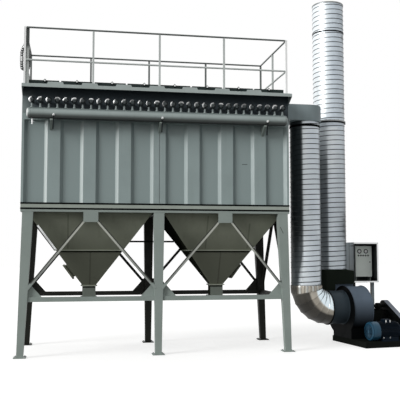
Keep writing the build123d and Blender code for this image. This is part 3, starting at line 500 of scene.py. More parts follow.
framePaint = painted("frame", Streaks=0.1, Gloss=0.5)
basePaint = painted("base", Streaks=0.1, Gloss=0.5)
bracePaint = painted("brace", Streaks=0.1, Gloss=0.5)
# a thin dark slanting mark on the right front leg, in the rear members' shade colour
darkLegMark = allOf(between((0.896, 0, 0.444), 3.363, 3.371, 0.005), between(upward, 2.41, 2.53, 0.01),
                between(toRight, 2.5, 2.57, 0.01, 0.8))
addCoats(framePaint, ("frameShadeAndMark", darkLegMark))
outerBays = alongMask(toRight, 1.349, 1.351, source="Mirrored")
innerBays = alongMask(toLeft, -1.351, -1.349, source="Mirrored")
addCoats(
    bracePaint,
    ("braceLow", alongMask(downward, -2.3, -1.6)),
    # painted shade along the braces' upper edges
    ("braceEdgeShade", allOf(outerBays, alongMask((0.778, 0, 0.628), 2.812, 2.816, source="Mirrored"))),
    ("braceEdgeShade", allOf(innerBays, alongMask((-0.755, 0, 0.656), 0.815, 0.819, source="Mirrored"))),
    ("frame", alongMask(downward, -1.42, -1.41)),
)
# painted shade: the rear members dark
for rearward in (framePaint, basePaint, bracePaint):
    addCoats(rearward, ("frameShadeAndMark", alongMask(toRear, -0.86, -0.84)))

hopperPaint = painted("hopper", specular=0.0, Streaks=0.25, Gloss=0.7)
neck = alongMask(downward, -1.335, -1.328)
addCoats(
    hopperPaint,
    ("hopperLow", alongMask(downward, -2.45, -1.9)),
    ("hopperShade", allOf(between(toRight, 0.0, 1.34, 0.01), facing(toLeft, 0.3, 0.5))),
    ("hopperShade", between(toRear, -0.008, 0.008, 0.002)),
    ("hopperShade", between(upward, 2.018, 2.040, 0.004)),  # under and on the stiffening band
    # painted light on the top edge of the stiffening band
    ("hopperLitEdge", between(upward, 2.050, 2.068, 0.003)),
)
for seamX, low, high in ((-1.337, 1.36, 2.01), (-1.790, 2.1, 2.75), (1.372, 1.36, 2.01), (1.037, 2.1, 2.75),
                         (1.93, 2.1, 2.6)):
    seam = allOf(between(toRight, seamX - 0.010, seamX + 0.010, 0.008), between(upward, low, high, 0.02))
    addCoats(hopperPaint, ("hopperShade", allOf(seam, facing(toFront, 0.4, 0.5, 0.3))))
addCoats(
    hopperPaint,
    ("hopperNeck", neck),
    ("hopperShade", between(upward, 1.285, 1.310, 0.004)),  # under and on the neck's flange
    # painted light on the top edge of the neck's flange
    ("hopperLitEdge", between(upward, 1.318, 1.340, 0.003)),
    ("hopperShade", allOf(neck, facing(toLeft, 0.6, 0.8))),
)

headerPaint = painted("header", specular=0.3, Gloss=0.35)
addCoats(
    headerPaint,
    # painted shade on the header's top and underside, black at the very bottom
    ("headerTopShade", facing(upward, 0.35, 0.8)),
    ("headerShade", facing(downward, 0.05, 0.6)),
    ("blackAndShade", facing(downward, 0.75, 0.95)),
    ("whiteAndHighlight", allOf(alongMask(toLeft, 2.565, 2.58), facing((-0.95, -0.3, 0.1), 0.6, 0.9, 0.85))),  # painted highlight on the left end
)
coverPaint = painted("cover", Gloss=0.5)
hoodPaint = painted("hood", Gloss=0.45)
# painted shade on the hood's underside
addCoats(hoodPaint, ("recessShade", facing(downward, 0.2, 0.5)))
# painted shade on the sheet behind the valves, lighter low down and at the left end
recessShadePaint = painted("recessShade", specular=0.05, Gloss=0.6)
recessShadeEnd = allOf(alongMask(toLeft, 2.42, 2.66, 0.85), alongMask(downward, -5.25, -4.85))
addCoats(recessShadePaint, ("recessShadeLow", alongMask(downward, -5.15, -4.85, 0.7)), ("recessShadeEnd", recessShadeEnd))
outletPaint = painted("outlet", Gloss=0.45)
railPaint = painted("rail", Gloss=0.4)
frontPosts = allOf(alongMask(toRight, 2.64, 2.645, source="Mirrored"), alongMask(toFront, 1.0, 1.01))
# painted shade on the top rail and the rear rails, painted highlight on the front corner posts
addCoats(railPaint, ("railShade", alongMask(upward, 6.43, 6.435)), ("railShade", alongMask(toRear, 0.98, 1.0)),
         ("whiteAndHighlight", frontPosts))
# painted shade: the corner upright dark, paler low down on its right part
railShadePaint = painted("railShade", Gloss=0.5)
addCoats(railShadePaint, ("railPale", allOf(alongMask(downward, -6.10, -6.02), alongMask(toRight, -2.642, -2.632))))

fanPaint = painted("fan", specular=0.02, Streaks=0.2, Gloss=0.4)
addCoats(fanPaint, ("fanShade", alongMask(downward, -1.0, -0.38)),
         ("fanShade", alongMask(againstShaft, drumFront - 0.002, drumFront)))
drumPaint = painted("drum", specular=0.08, Streaks=0.2, Gloss=0.4)
guardPaint = painted("guard", specular=0.08, Gloss=0.45)
# painted shade in black on the guard's underside and on its face towards the casing
addCoats(guardPaint, ("blackAndShade", facing(downward, 0.1, 0.3)), ("blackAndShade", facing(againstShaft, 0.5, 0.7)))
transitionPaint = painted("transition", specular=0.0, Gloss=0.55)
skidPaint = painted("skid", specular=0.0, Gloss=0.5)
cowlPaint = painted("cowl", specular=0.3, Gloss=0.35)
motorPaint = painted("motor", specular=0.06, Gloss=0.4)
cabinetPaint = painted("cabinet", Gloss=0.4)
doorPaint = painted("door", specular=0.4, Streaks=0.05, Gloss=0.4)
cabinetHoodPaint = painted("cabinetHood", Gloss=0.4)
leftFace = facing(toLeft, 0.7, 0.9)
addCoats(
    cabinetHoodPaint,
    # painted shade inside the hood, and in black strips on its left face
    ("hoodInsideShade", allOf(between(toRight, 4.798, 5.406, 0.002), between(upward, 1.311, 2.246, 0.001),
                         alongMask(toRear, 0.683, 0.685))),
    ("blackAndShade", allOf(leftFace, between(upward, 2.150, 2.185, 0.006), alongMask(toRear, 0.70, 1.0, 0.0, start=0.9))),
    ("blackAndShade", allOf(leftFace, alongMask(downward, -1.42, -1.38, 0.85))),
    ("blackAndShade", allOf(leftFace, between(toRear, 0.935, 0.965, 0.008, 0.6))),
)
standPaint = painted("stand", Gloss=0.4)
standMiddle = middleX("cabinet_stand")  # the left post stands in shade
addCoats(standPaint, ("blackAndShade", alongMask(toLeft, -standMiddle - 0.002, -standMiddle + 0.002)))
darkPaint = painted("dark", specular=0.1, Gloss=0.5)
blackPaint = painted("blackAndShade", specular=0.02, Gloss=0.6)
whitePaint = painted("whiteAndHighlight", Gloss=0.4)
loopPaint = painted("loop", Gloss=0.5)
# painted highlight in white on the loop's ribs where they face the front
addCoats(loopPaint, ("whiteAndHighlight", allOf(attributeMask("rib"), facing(toFront, 0.6, 0.9))))

ductZinc = zinced("ductZinc", 0.35, Dull=0.35)
# painted reflection, dark seams and painted shade, from the values the ducts carry
addCoats(ductZinc, ("ductReflection", attributeMask("paintedReflection")), ("ductSeam", attributeMask("seam")),
         ("deepShade", attributeMask("shade")))
elbowZinc = zinced("elbowZinc", 0.2, specular=0.4, Dull=0.3)
# painted reflection: the throat whiter and more metallic; brown, painted shade and dark seams from the values the
# elbow carries
shining(elbowZinc, attributeMask("throat"), 0.15, 0.7)
addCoats(elbowZinc, ("skyReflection", attributeMask("throat")), ("brown", attributeMask("brown")),
         ("brownBlack", attributeMask("deepShade")), ("elbowSeam", attributeMask("seam")))
valveAlloy = zinced("valveAlloy", 0.1, specular=0.1, Spangle=0.1)
# painted highlight on the valve rings, more metallic there too
addCoats(valveAlloy, ("gleam", attributeMask("gleam")))
shining(valveAlloy, attributeMask("gleam"), 0.0, 0.95)
stemAlloy = zinced("stemAlloy", 0.1, specular=0.2, Spangle=0.1)
addCoats(stemAlloy, ("valveAlloy", alongMask(upward, 4.880, 4.890, 0.8)))
drainAlloy = zinced("drainAlloy", 0.1, specular=0.2, Spangle=0.1)
drainMiddle = middleX("drain_valve")
addCoats(drainAlloy, ("drainBar", between(toRight, drainMiddle - 0.016, drainMiddle + 0.016, 0.004)))
lipMetal = zinced("lipMetal", 0.9, Spangle=0.05, Dull=0.1)
boltZinc = zinced("boltZinc", 0.7, Spangle=0.1)
print("materials made")

finishes = [
    (wallPaint, "long_walls end_walls clean_air_plenum dirty_air_inlet"), (hoodPaint, "roof_plate rain_hood"),
    (coverPaint, "roof_covers"), (outletPaint, "outlet_box"), (headerPaint, "header_pipe"),
    (hopperPaint, "hopper_left hopper_right hopper_hatches"), (stemAlloy, "pulse_valves"),
    (drainAlloy, "drain_valve"), (railPaint, "railing_sides railing_ends"), (blackPaint, "packing_strips"),
    (fanPaint, "fan_casing"), (drumPaint, "fan_inlet"), (transitionPaint, "stack_transition"),
    (skidPaint, "bearing_pedestal fan_skid fan_shaft"), (guardPaint, "belt_guard"), (motorPaint, "motor"),
    (cabinetPaint, "cabinet_box"), (doorPaint, "cabinet_door"), (standPaint, "cabinet_stand"),
    (cabinetHoodPaint, "weather_hood cable_trunking"), (bracePaint, "braces"),
    (basePaint, "base_frame_long base_frame_ends"), (elbowZinc, "elbow"),
    (ductZinc, "down_pipe stack_lower stack_upper"),
]
finishOf = {name: material for material, names in finishes for name in names.split()}
for name, node in nodes.items():
    node.data.materials.clear()
    node.data.materials.append(finishOf.get(name, framePaint))


# ducts of folded strip, wound in a spiral

duct = {
    "pitch": 0.112,
    "seamWidth": 0.22,  # share of the pitch
    "seamHeight": 0.007,
    "sheet": 0.003,
    "sides": 72,
    "pipeRadius": 0.330,
    "stackRadius": 0.360,
}
fanUnit = {
    "turn": 8.0,  # degrees about the down pipe's axis
    "axisX": 3.4,
    "shaftHeight": 0.79,
    "stackPlace": (0.95, 0.62, 0.0),  # before the turn
}
turnCos, turnSin = np.cos(np.radians(fanUnit["turn"])), np.sin(np.radians(fanUnit["turn"]))


def turnFan(points):
    # from the fan unit's own frame to the object's: a turn about the down pipe's axis
    x, y, z = np.asarray(points, float).reshape(-1, 3).T
    return np.stack([fanUnit["axisX"] + x * turnCos - y * turnSin, x * turnSin + y * turnCos, z], axis=-1)


def setValue(piece, label, values):
    attribute = piece.data.attributes.new(label, "FLOAT", "POINT")
    attribute.data.foreach_set("value", np.asarray(values, np.float32))


def meshPoints(piece):
    points = np.empty(len(piece.data.vertices) * 3, np.float32)
    piece.data.vertices.foreach_get("co", points)
    return points.reshape(-1, 3)


def softStep(value, low, high):
    # 0 below low, 1 above high, smooth between
    share = np.clip((value - low) / (high - low), 0, 1)
    return share * share * (3 - 2 * share)


def hill(value, middle, width):
    # 1 at the middle, falling off on both sides
    return np.exp(-((value - middle) / width) ** 2)


def roundAngle(points, centre):
    # degrees about a duct's axis: 0 at the right, 90 at the rear, 180 at the left, 270 in front
    return (np.degrees(np.arctan2(points[:, 1] - centre[1], points[:, 0] - centre[0])) + 360) % 360


def addWall(piece):
    # the sheet's thickness, inwards
    wall = piece.modifiers.new("wall", "SOLIDIFY")
    wall.thickness = duct["sheet"]
    wall.offset = -1


def makeSpiralDuct(name, replaced, centre, radius, shade, paintedReflection):
    # along the strip the height is pitch times (turns + share of the width), held between both ends,
    # and the radius is the duct's plus a low ridge where two edges of the strip are folded together
    low, high = (corner.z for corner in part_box(replaced))
    half = duct["seamWidth"] / 2
    share = np.array([0.0, half * 0.5, half, 0.5, 1 - half, 1 - half * 0.5])
    ridge = np.array([1.0, 0.8, 0.0, 0.0, 0.0, 0.8])
    turns = int(np.ceil((high - low) / duct["pitch"])) + 2
    rows = np.arange(turns * len(share))
    angle = np.arange(duct["sides"] + 1) / duct["sides"]
    height = low + duct["pitch"] * (
        rows[:, None] // len(share) + share[rows % len(share)][:, None] + angle[None, :] - 1)
    spread = radius + duct["seamHeight"] * np.repeat(ridge[rows % len(share)][:, None], len(angle), axis=1)
    height = np.clip(height, low, high)
    spread = np.where((height <= low) | (height >= high), radius, spread)
    x = centre[0] + spread * np.cos(angle * 2 * np.pi)
    y = centre[1] + spread * np.sin(angle * 2 * np.pi)
    grid = np.stack([x, y, height], axis=-1)
    piece = makePiece(name, grid, gridFaces(*grid.shape[:2], wrap=False), ductZinc, "duct_zinc")
    points = meshPoints(piece)
    away = np.hypot(points[:, 0] - centre[0], points[:, 1] - centre[1])
    bearing, level = roundAngle(points, centre), points[:, 2]
    lit = paintedReflection(bearing, level)
    glare = hill(bearing, 230, 18) * softStep(level, 4.9, 5.3)  # the seams fade there
    setValue(piece, "seam", np.clip((away - radius) / duct["seamHeight"] * 1.5, 0, 1) * (1 - 0.6 * lit * glare))
    setValue(piece, "shade", shade(bearing, level))
    setValue(piece, "paintedReflection", lit)
    addWall(piece)
    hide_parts(replaced)


def downPipeShade(bearing, level):
    # painted shade on the side towards the housing, less far round low down, and a little at the far edge
    away = np.abs(bearing - 190)
    low = softStep(-level, -2.1, -1.3)
    reach, soft = 52 - 14 * low, 3 + 7 * low
    share = np.clip((reach + soft - away) / (2 * soft), 0, 1)
    return np.maximum(share * 0.97, softStep(away, 122, 148) * 0.7)


def downPipeReflection(bearing, level):
    # painted reflection, brightest beside the painted shade, then duller round to the right
    around = 0.35 * softStep(-bearing, -345, -300) + 0.65 * hill(bearing, 243, 20)
    return around * (0.7 + 0.3 * softStep(level, 2.6, 4.6))


def stackShade(bearing, level):
    # painted shade as a dark stripe low down on the side that faces the down pipe and a dull right edge, and soft dark
    # blotches and spots
    low = softStep(-level, -4.8, -4.0)
    stripe = softStep(-np.abs(bearing - 208), -37, -31) * low * 0.7
    edge = softStep(bearing, 300, 336) * 0.5 + softStep(bearing, 255, 290) * low * 0.16
    ragged = 0.75 + 0.25 * np.sin(level * 47 + np.radians(bearing) * 3)
    blotch = hill(bearing, 318, 24) * hill(level, 2.6, 0.4) * ragged
    spots = hill(bearing, 318, 8) * (hill(level, 7.08, 0.06) + hill(level, 5.4, 0.04)) * 0.7
    return np.clip(stripe + edge + blotch + spots, 0, 1)


def stackReflection(bearing, level):
    # painted reflection, palest on the left side above the outlet box
    high = softStep(level, 4.9, 5.6)
    middle = 0.38 + 0.55 * softStep(level, 3.4, 4.3)
    return np.where(high > 0, softStep(-bearing, -270, -230) * (0.4 + 0.6 * high),
                    softStep(-bearing, -335, -238) * middle)


def makeBand(name, centre, radius, level, width, depth, material, slot):
    # a hoop round a duct, with rounded lips
    crest, trough = radius + depth + 0.002, radius + depth - 0.003
    hoop = [(radius - 0.002, level), (radius + depth, level), (crest, level + width * 0.12),
            (trough, level + width * 0.3), (trough, level + width * 0.7), (crest, level + width * 0.88),
            (radius + depth, level + width), (radius - 0.002, level + width)]
    makeTurned(name, hoop, duct["sides"], [(*centre, 0.0)], upward, material, slot)


pipeCentre = (fanUnit["axisX"], 0.0)
stackCentre = tuple(turnFan(fanUnit["stackPlace"])[0][:2])
makeSpiralDuct("downPipeSpiral", "down_pipe", pipeCentre, duct["pipeRadius"], downPipeShade, downPipeReflection)
for part in ("Lower", "Upper"):
    makeSpiralDuct("stack" + part + "Spiral", "stack_" + part.lower(), stackCentre, duct["stackRadius"],
                   stackShade, stackReflection)
makeBand("pipeTopBand", pipeCentre, duct["pipeRadius"], 4.79, 0.045, 0.012, blackPaint, "fan_paint")
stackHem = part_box("stack_upper")[1].z - 0.03
for name, level, width, depth, material, slot in (
    ("stackJointLower", 5.03, 0.028, 0.024, darkPaint, "fan_paint"),
    ("stackJointUpper", 5.062, 0.028, 0.024, boltZinc, "duct_zinc"),
    ("stackSeamBand", 7.19, 0.03, 0.008, darkPaint, "fan_paint"),
    ("stackTopHem", stackHem, 0.03, 0.008, boltZinc, "duct_zinc"),
):
    makeBand(name, stackCentre, duct["stackRadius"], level, width, depth, material, slot)
jointBolts = revolved([(0.374, 5.089)], 24)[0] + (*stackCentre, 0.0)
makeTurned("stackJointBolts", boltProfile(0.009, 0.008), 6, jointBolts, upward, boltZinc, "duct_zinc")

elbowShape = {
    "bend": 0.5,
    "gores": 6,
    "startRadius": 0.33,
    "endRadius": 0.365,
    "seam": 0.007,
    "sides": 72,
    "brown": [0.1, 0.2, 0.5, 0.58, 0.52, 0.48],  # how brown each gore is, and how dark its painted shade is
    "deepShade": [0.84, 0.93, 0.96, 0.91, 0.96, 0.94],
}
collarShape = {
    "turn": 13.0,  # degrees of the bend under the ring
    "crimp": 0.004,
    "crimps": 30,
    "sides": 180,
}


def boreAt(share):
    # the elbow's radius grows evenly from the pipe to the fan
    return elbowShape["startRadius"] + (elbowShape["endRadius"] - elbowShape["startRadius"]) * share


def bentRings(turn, radius, sides, chord=0.0):
    # a ring at each turn of the bend, square to it and moved along the chord
    turn, angle, chord = turn[:, None], fullTurn(sides), np.reshape(chord, (-1, 1))
    out = radius * np.cos(angle)
    x = elbowShape["bend"] * (1 - np.cos(turn)) + chord * np.sin(turn) - out * np.cos(turn)
    z = fanUnit["shaftHeight"] + elbowShape["bend"] * (1 - np.sin(turn)) - chord * np.cos(turn) - out * np.sin(turn)
    return np.stack([x, radius * np.sin(angle), z], axis=-1)


def makeElbow():
    # rings of a quarter turn; between two joints the gore is straight, and at a joint the radius
    # rises to a narrow standing seam
    bend, gores, seam = elbowShape["bend"], elbowShape["gores"], elbowShape["seam"]
    steps = np.array([-0.014, -0.007, 0.007, 0.014])
    rises = np.array([0.0, 1.0, 1.0, 0.0])
    joints = np.repeat(np.arange(gores + 1) / gores, len(steps))
    share = np.clip(joints + np.tile(steps, gores + 1), 0, 1)
    radius = boreAt(share) + seam * np.tile(rises, gores + 1)
    quarter = np.pi / 2
    grid = bentRings(joints * quarter, radius[:, None], elbowShape["sides"], (share - joints) * quarter * bend)
    piece = makePiece("elbowGores", grid, gridFaces(*grid.shape[:2]), elbowZinc, "duct_zinc", sharpAngle=25,
                      turnPoints=turnFan)
    local = meshPoints(piece)
    dx, dy = local[:, 0] - fanUnit["axisX"], local[:, 1]
    x, y = dx * turnCos + dy * turnSin, dy * turnCos - dx * turnSin  # back in the fan unit's own frame
    below = fanUnit["shaftHeight"] + bend - local[:, 2]
    fromBend = np.hypot(bend - x, below)
    along = np.arctan2(below, bend - x) / quarter
    plain = boreAt(along)
    away = np.hypot(fromBend - bend, y) - plain
    far = (fromBend - bend) / plain  # -1 in the throat, 1 on the back of the bend
    gore = np.clip(np.floor(along * gores).astype(int), 0, gores - 1)
    pastWhite, pastBeige = far + 0.3 - 0.42 * along, far - 0.26 - 0.14 * along
    # dark seams, strongest towards the throat; painted reflection in the throat; brown beyond it; painted shade on the
    # back of the bend
    setValue(piece, "seam", np.clip(away / seam * 1.3, 0, 1) * (0.2 + 0.78 * softStep(-far, 0.0, 0.6)))
    setValue(piece, "throat", softStep(-pastWhite, -0.05, 0.05))
    setValue(piece, "brown", softStep(pastWhite, -0.04, 0.06) * np.array(elbowShape["brown"])[gore])
    setValue(piece, "deepShade", softStep(pastBeige, -0.06, 0.06) * np.array(elbowShape["deepShade"])[gore])
    addWall(piece)
    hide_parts("elbow")


def makeCollar():
    # the crimped ring over the first gore: rings turned with the bend, whose radius waves round the pipe
    share = np.array([0.0, 0.0, 0.06, 0.3, 0.7, 0.94, 1.0, 1.0])
    lift = np.array([-0.003, 0.009, 0.013, 0.011, 0.011, 0.013, 0.009, -0.003])
    wave = np.array([0.0, 0.4, 0.6, 1.0, 1.0, 0.6, 0.4, 0.0]) * collarShape["crimp"]
    turn = np.radians(collarShape["turn"]) * share
    crimped = np.sin(fullTurn(collarShape["sides"]) * collarShape["crimps"])
    radius = (boreAt(turn / (np.pi / 2)) + lift)[:, None] + wave[:, None] * crimped
    grid = bentRings(turn, radius, collarShape["sides"])
    grid = np.concatenate([grid, grid[:1]])
    piece = makePiece("pipeCollar", grid, gridFaces(*grid.shape[:2]), elbowZinc, "duct_zinc", sharpAngle=40,
                      turnPoints=turnFan)
    bearing = roundAngle(meshPoints(piece), pipeCentre)
    ring = np.radians(bearing - fanUnit["turn"])
    # painted glints, painted shade on the side towards the housing, and dark ticks in the crimps
    glints = sum(hill(bearing, place, 4) for place in (227, 255, 278, 297))
    setValue(piece, "deepShade", softStep(-np.abs(bearing - 190), -36, -24) * 0.9)
    setValue(piece, "seam", softStep(-np.sin(ring * collarShape["crimps"]), 0.2, 0.9) * 0.5)
    setValue(piece, "throat", glints * 0.6)
    setValue(piece, "brown", np.full(len(bearing), 0.35))


makeElbow()
makeCollar()
flangeRing = [(0.362, -0.018), (0.379, -0.018), (0.382, -0.009), (0.379, 0.0), (0.362, 0.0)]
makeTurned("elbowFlange", flangeRing, 72, turnFan([0.5, 0.0, fanUnit["shaftHeight"]]), alongShaft, blackPaint,
           "fan_paint")
print("ducts made")


# pulse valves and header

valve = {
    "count": 32,
    "pitch": 0.1615,
    "height": 4.955,
    "frontY": -1.321,
    "stemFoot": (-1.275, 4.8096),
    "bright": [0, 2, 7, 10],  # these have the full gleam
}
valveX = (np.arange(valve["count"]) - (valve["count"] - 1) / 2) * valve["pitch"]
random = np.random.default_rng(4)
gleamAngle = np.radians(random.uniform(75, 175, valve["count"]))
gleamWidth = random.uniform(0.1, 0.75, valve["count"])
gleamPower = random.uniform(0.25, 1.0, valve["count"])
gleamPower[valve["bright"]] = 1.0


def valveRow(y, z):
    # a point for each valve
    return np.stack([valveX, np.full_like(valveX, y), np.full_like(valveX, z)], axis=-1)


def addGleam(piece):
    # a painted highlight, a bright crescent: on each valve the value falls off with the angle from its own bright side
    points = meshPoints(piece)
    last = valve["count"] - 1
    which = np.clip(np.rint(points[:, 0] / valve["pitch"] + last / 2).astype(int), 0, last)
    dx, dz = points[:, 0] - valveX[which], points[:, 2] - valve["height"]
    side, width = np.cos(np.arctan2(dz, dx) - gleamAngle[which]), gleamWidth[which]
    crescent = softStep(side, 0.75 - width, 1.0 - width * 0.5) * softStep(np.hypot(dx, dz), 0.025, 0.045)
    setValue(piece, "gleam", crescent * gleamPower[which])


valveFronts = valveRow(valve["frontY"], valve["height"])
valveRing = [(0.060, -0.020), (0.0615, -0.010), (0.0615, 0.000), (0.058, 0.009), (0.052, 0.012), (0.046, 0.009),
             (0.042, 0.002), (0.034, 0.0005), (0.0, 0.0005)]
valveNut = [(0, 0.017), (0.014, 0.017), (0.014, 0.026), (0.011, 0.029), (0, 0.029)]
stemCollar = [(0, 0), (0.028, 0), (0.028, 0.012), (0.024, 0.016), (0.0195, 0.016)]
addGleam(makeTurned("valveRings", valveRing, 28, valveFronts, toFront, valveAlloy, "valve_alloy"))
makeTurned("valveNuts", valveNut, 6, valveFronts, toFront, stemAlloy, "valve_alloy")
makeTurned("stemCollars", stemCollar, 12, valveRow(*valve["stemFoot"]), upward, headerPaint, "header_paint")

# a dark sheet behind the valves: painted shade in the recess under the hood
recessShade = {"low": 4.74, "high": 5.29, "width": 5.38, "depth": 0.006, "y": -1.0735}
makeBlocks("recessShadeSheet", (0, recessShade["y"], (recessShade["low"] + recessShade["high"]) / 2),
           (recessShade["width"], recessShade["depth"], recessShade["high"] - recessShade["low"]), recessShadePaint, "housing_paint")

header = {
    "fittingX": (-2.087, 0.02, 2.165),
    "fittingY": -1.374,
    "fittingHeight": 4.655,
    "fitting": [(0, 0), (0.022, 0), (0.022, 0.018), (0.016, 0.022), (0.016, 0.042), (0.012, 0.046), (0, 0.046)],
    "strap": [(0, -1.388, 4.65), (0, -1.386, 4.61), (-0.004, -1.372, 4.54), (-0.008, -1.352, 4.46),
              (-0.010, -1.346, 4.38)],
    "weld": [(0.108, -0.006), (0.112, -0.003), (0.1125, 0.0), (0.112, 0.003), (0.108, 0.006)],
    "weldPlaces": [(-2.533, -1.275, 4.70), (2.533, -1.275, 4.70)],
}
fittingPlaces = [(x, header["fittingY"], header["fittingHeight"]) for x in header["fittingX"]]
makeTurned("headerFittings", header["fitting"], 12, fittingPlaces, (0, -1, 0.25), whitePaint, "header_paint")
strapPaths = [np.array(header["strap"]) + (x, 0, 0) for x in header["fittingX"]]
makeRun("headerStraps", flatBar(0.012, 0.003), strapPaths, (0, -1, 0.3), darkPaint, "header_paint", sharpAngle=30)
makeTurned("headerWelds", header["weld"], 48, header["weldPlaces"], toRight, headerPaint, "header_paint")


# roof covers' knobs, seals with painted gap shade, and what stands at the roof's left front corner

knob = {
    "x": (-2.276, -1.651, -0.953, -0.306, 0.318, 0.992, 1.654, 2.305),
    "y": -0.979,
    "z": 5.405,
    "plate": [(0, 0), (0.040, 0), (0.043, 0.004), (0.040, 0.010), (0, 0.010)],
    "grip": [(0, 0.008), (0.010, 0.008), (0.010, 0.018), (0.017, 0.022), (0.018, 0.034), (0.014, 0.042), (0, 0.044)],
}
knobPlaces = [(x, knob["y"], knob["z"]) for x in knob["x"]]
makeTurned("knobPlates", knob["plate"], 4, knobPlaces, toFront, blackPaint, "rail_paint")
makeTurned("coverKnobs", knob["grip"], 14, knobPlaces, toFront, whitePaint, "rail_paint")

# dark seal strips under and over the base frame, on all four sides; their black also stands in for the shade in the
# gaps there
sealAndGapShade = {"levels": (2.868, 2.970), "depth": 0.004, "height": 0.032, "x": 2.7015, "y": 1.0715}
sides = [(side, level) for side in (-1, 1) for level in sealAndGapShade["levels"]]
makeBlocks("longSealsAndGapShade", [(0, side * sealAndGapShade["y"], level) for side, level in sides],
           (5.402, sealAndGapShade["depth"], sealAndGapShade["height"]), blackPaint, "frame_paint")
makeBlocks("shortSealsAndGapShade", [(side * sealAndGapShade["x"], 0, level) for side, level in sides],
           (sealAndGapShade["depth"], 2.142, sealAndGapShade["height"]), blackPaint, "frame_paint")

corner = {
    "x": -2.622, "width": 0.072, "depth": 0.03, "sheet": 0.005, "y": -0.998, "low": 5.33, "high": 6.46,
    "loopX": -2.664, "loopY": -0.943, "loopHeight": 5.83, "loopHalfWidth": 0.069, "loopHalfHeight": 0.205,
    "square": 0.45,  # 1 for a round loop, less for a squarer one
    "hose": 0.033, "ribs": 22,
    "hook": [(-2.690, -0.948, 6.15), (-2.700, -0.948, 6.12), (-2.722, -0.948, 6.09), (-2.735, -0.948, 6.05)],
}


def makeCornerUpright():
    # a channel: its section is carried up from the roof
    w, d, s = corner["width"] / 2, corner["depth"] / 2, corner["sheet"]
    section = [(-w, -d), (-w, d), (-w + s, d), (-w + s, -d + s), (w - s, -d + s), (w - s, d), (w, d), (w, -d)]
    path = [(corner["x"], corner["y"], z) for z in np.linspace(corner["low"], corner["high"], 5)]
    makeRun("cornerUpright", section, [path], toRear, railShadePaint, "rail_paint", sharpAngle=20)


def makeRibbedLoop():
    # a hose on a long ring: the hose's radius rises and falls along its length
    turns = fullTurn(corner["ribs"] * 8)
    cx, cz = (np.sign(part) * np.abs(part) ** corner["square"] for part in (np.cos(turns), np.sin(turns)))
    centre = np.stack([corner["loopX"] + corner["loopHalfWidth"] * cx, np.full_like(cx, corner["loopY"]),
                       corner["loopHeight"] + corner["loopHalfHeight"] * cz], axis=-1)
    forward = np.roll(centre, -1, axis=0) - np.roll(centre, 1, axis=0)
    forward /= np.linalg.norm(forward, axis=1, keepdims=True)
    length = np.cumsum(np.linalg.norm(centre - np.roll(centre, 1, axis=0), axis=1))
    wave = 0.5 + 0.5 * np.cos(length / length[-1] * corner["ribs"] * 2 * np.pi)
    radius = corner["hose"] * (0.82 + 0.18 * wave)
    up = np.cross(forward, toRear)
    angle = fullTurn(12)[None, :, None]
    grid = centre[:, None] + radius[:, None, None] * (np.cos(angle) * toRear + np.sin(angle) * up[:, None])
    grid = np.concatenate([grid, grid[:1]])
    piece = makePiece("ribbedLoop", grid, gridFaces(*grid.shape[:2]), loopPaint, "rail_paint", sharpAngle=80)
    points = meshPoints(piece)
    nearest = np.argmin(np.linalg.norm(points[:, None] - centre[None], axis=2), axis=1)
    # painted highlight on the ribs of the loop's left part
    setValue(piece, "rib", softStep(wave[nearest], 0.35, 0.8) * softStep(-points[:, 0], 2.70, 2.72) * 0.9)


makeCornerUpright()
makeRibbedLoop()
hopperTie = {"radius": 0.019, "half": 0.52, "y": 0.56, "z": 2.252}
tiePath = [(x, hopperTie["y"], hopperTie["z"]) for x in np.linspace(-hopperTie["half"], hopperTie["half"], 9)]
makeRun("hopperTie", circle(hopperTie["radius"], 12), [tiePath], upward, blackPaint, "frame_paint")
makeRun("loopHook", circle(0.013, 10), [corner["hook"]], toRear, whitePaint, "rail_paint")
hipTop, hipRun = np.array([-2.383, -0.762, 2.55]), np.array([0.368, 0.248, -0.5])  # down the left hopper's edge
hipLine = hipTop + np.linspace(0, 1, 6)[:, None] * hipRun
makeRun("hopperHipTrim", flatBar(0.019, 0.003), [hipLine], toFront, lipMetal, "housing_paint", sharpAngle=30)
print("valves and roof made")


# bolts of the feet, hoppers and inlet

def roundPoint(x, y, z, half):
    # the corners of a square round a point
    return [(x + a, y + b, z) for a in (-half, half) for b in (-half, half)]


feet = [(x, y) for y in (-0.99, 0.99) for x in (-2.666, 0.0, 2.666)]
footBolts = [place for x, y in feet for place in roundPoint(x, y, 0.016, 0.09)]
neckBolts = [place for x in (-1.35, 1.35) for z in (1.094, 1.33) for place in roundPoint(x, 0, z, 0.152)]
inletBolts = [(x, 1.316, 3.5 + z) for x in (-0.575, 0.575) for z in (-0.335, 0.335)]
for name, size, height, places, axis, slot in (
    ("footBolts", 0.017, 0.018, footBolts, upward, "frame_paint"),
    ("neckBolts", 0.011, 0.010, neckBolts, upward, "housing_paint"),
    ("inletBolts", 0.011, 0.010, inletBolts, toFront, "housing_paint"),
):
    makeTurned(name, boltProfile(size, height), 6, places, axis, boltZinc, slot)
print("bolts made")


# fan unit, in its own frame before the turn

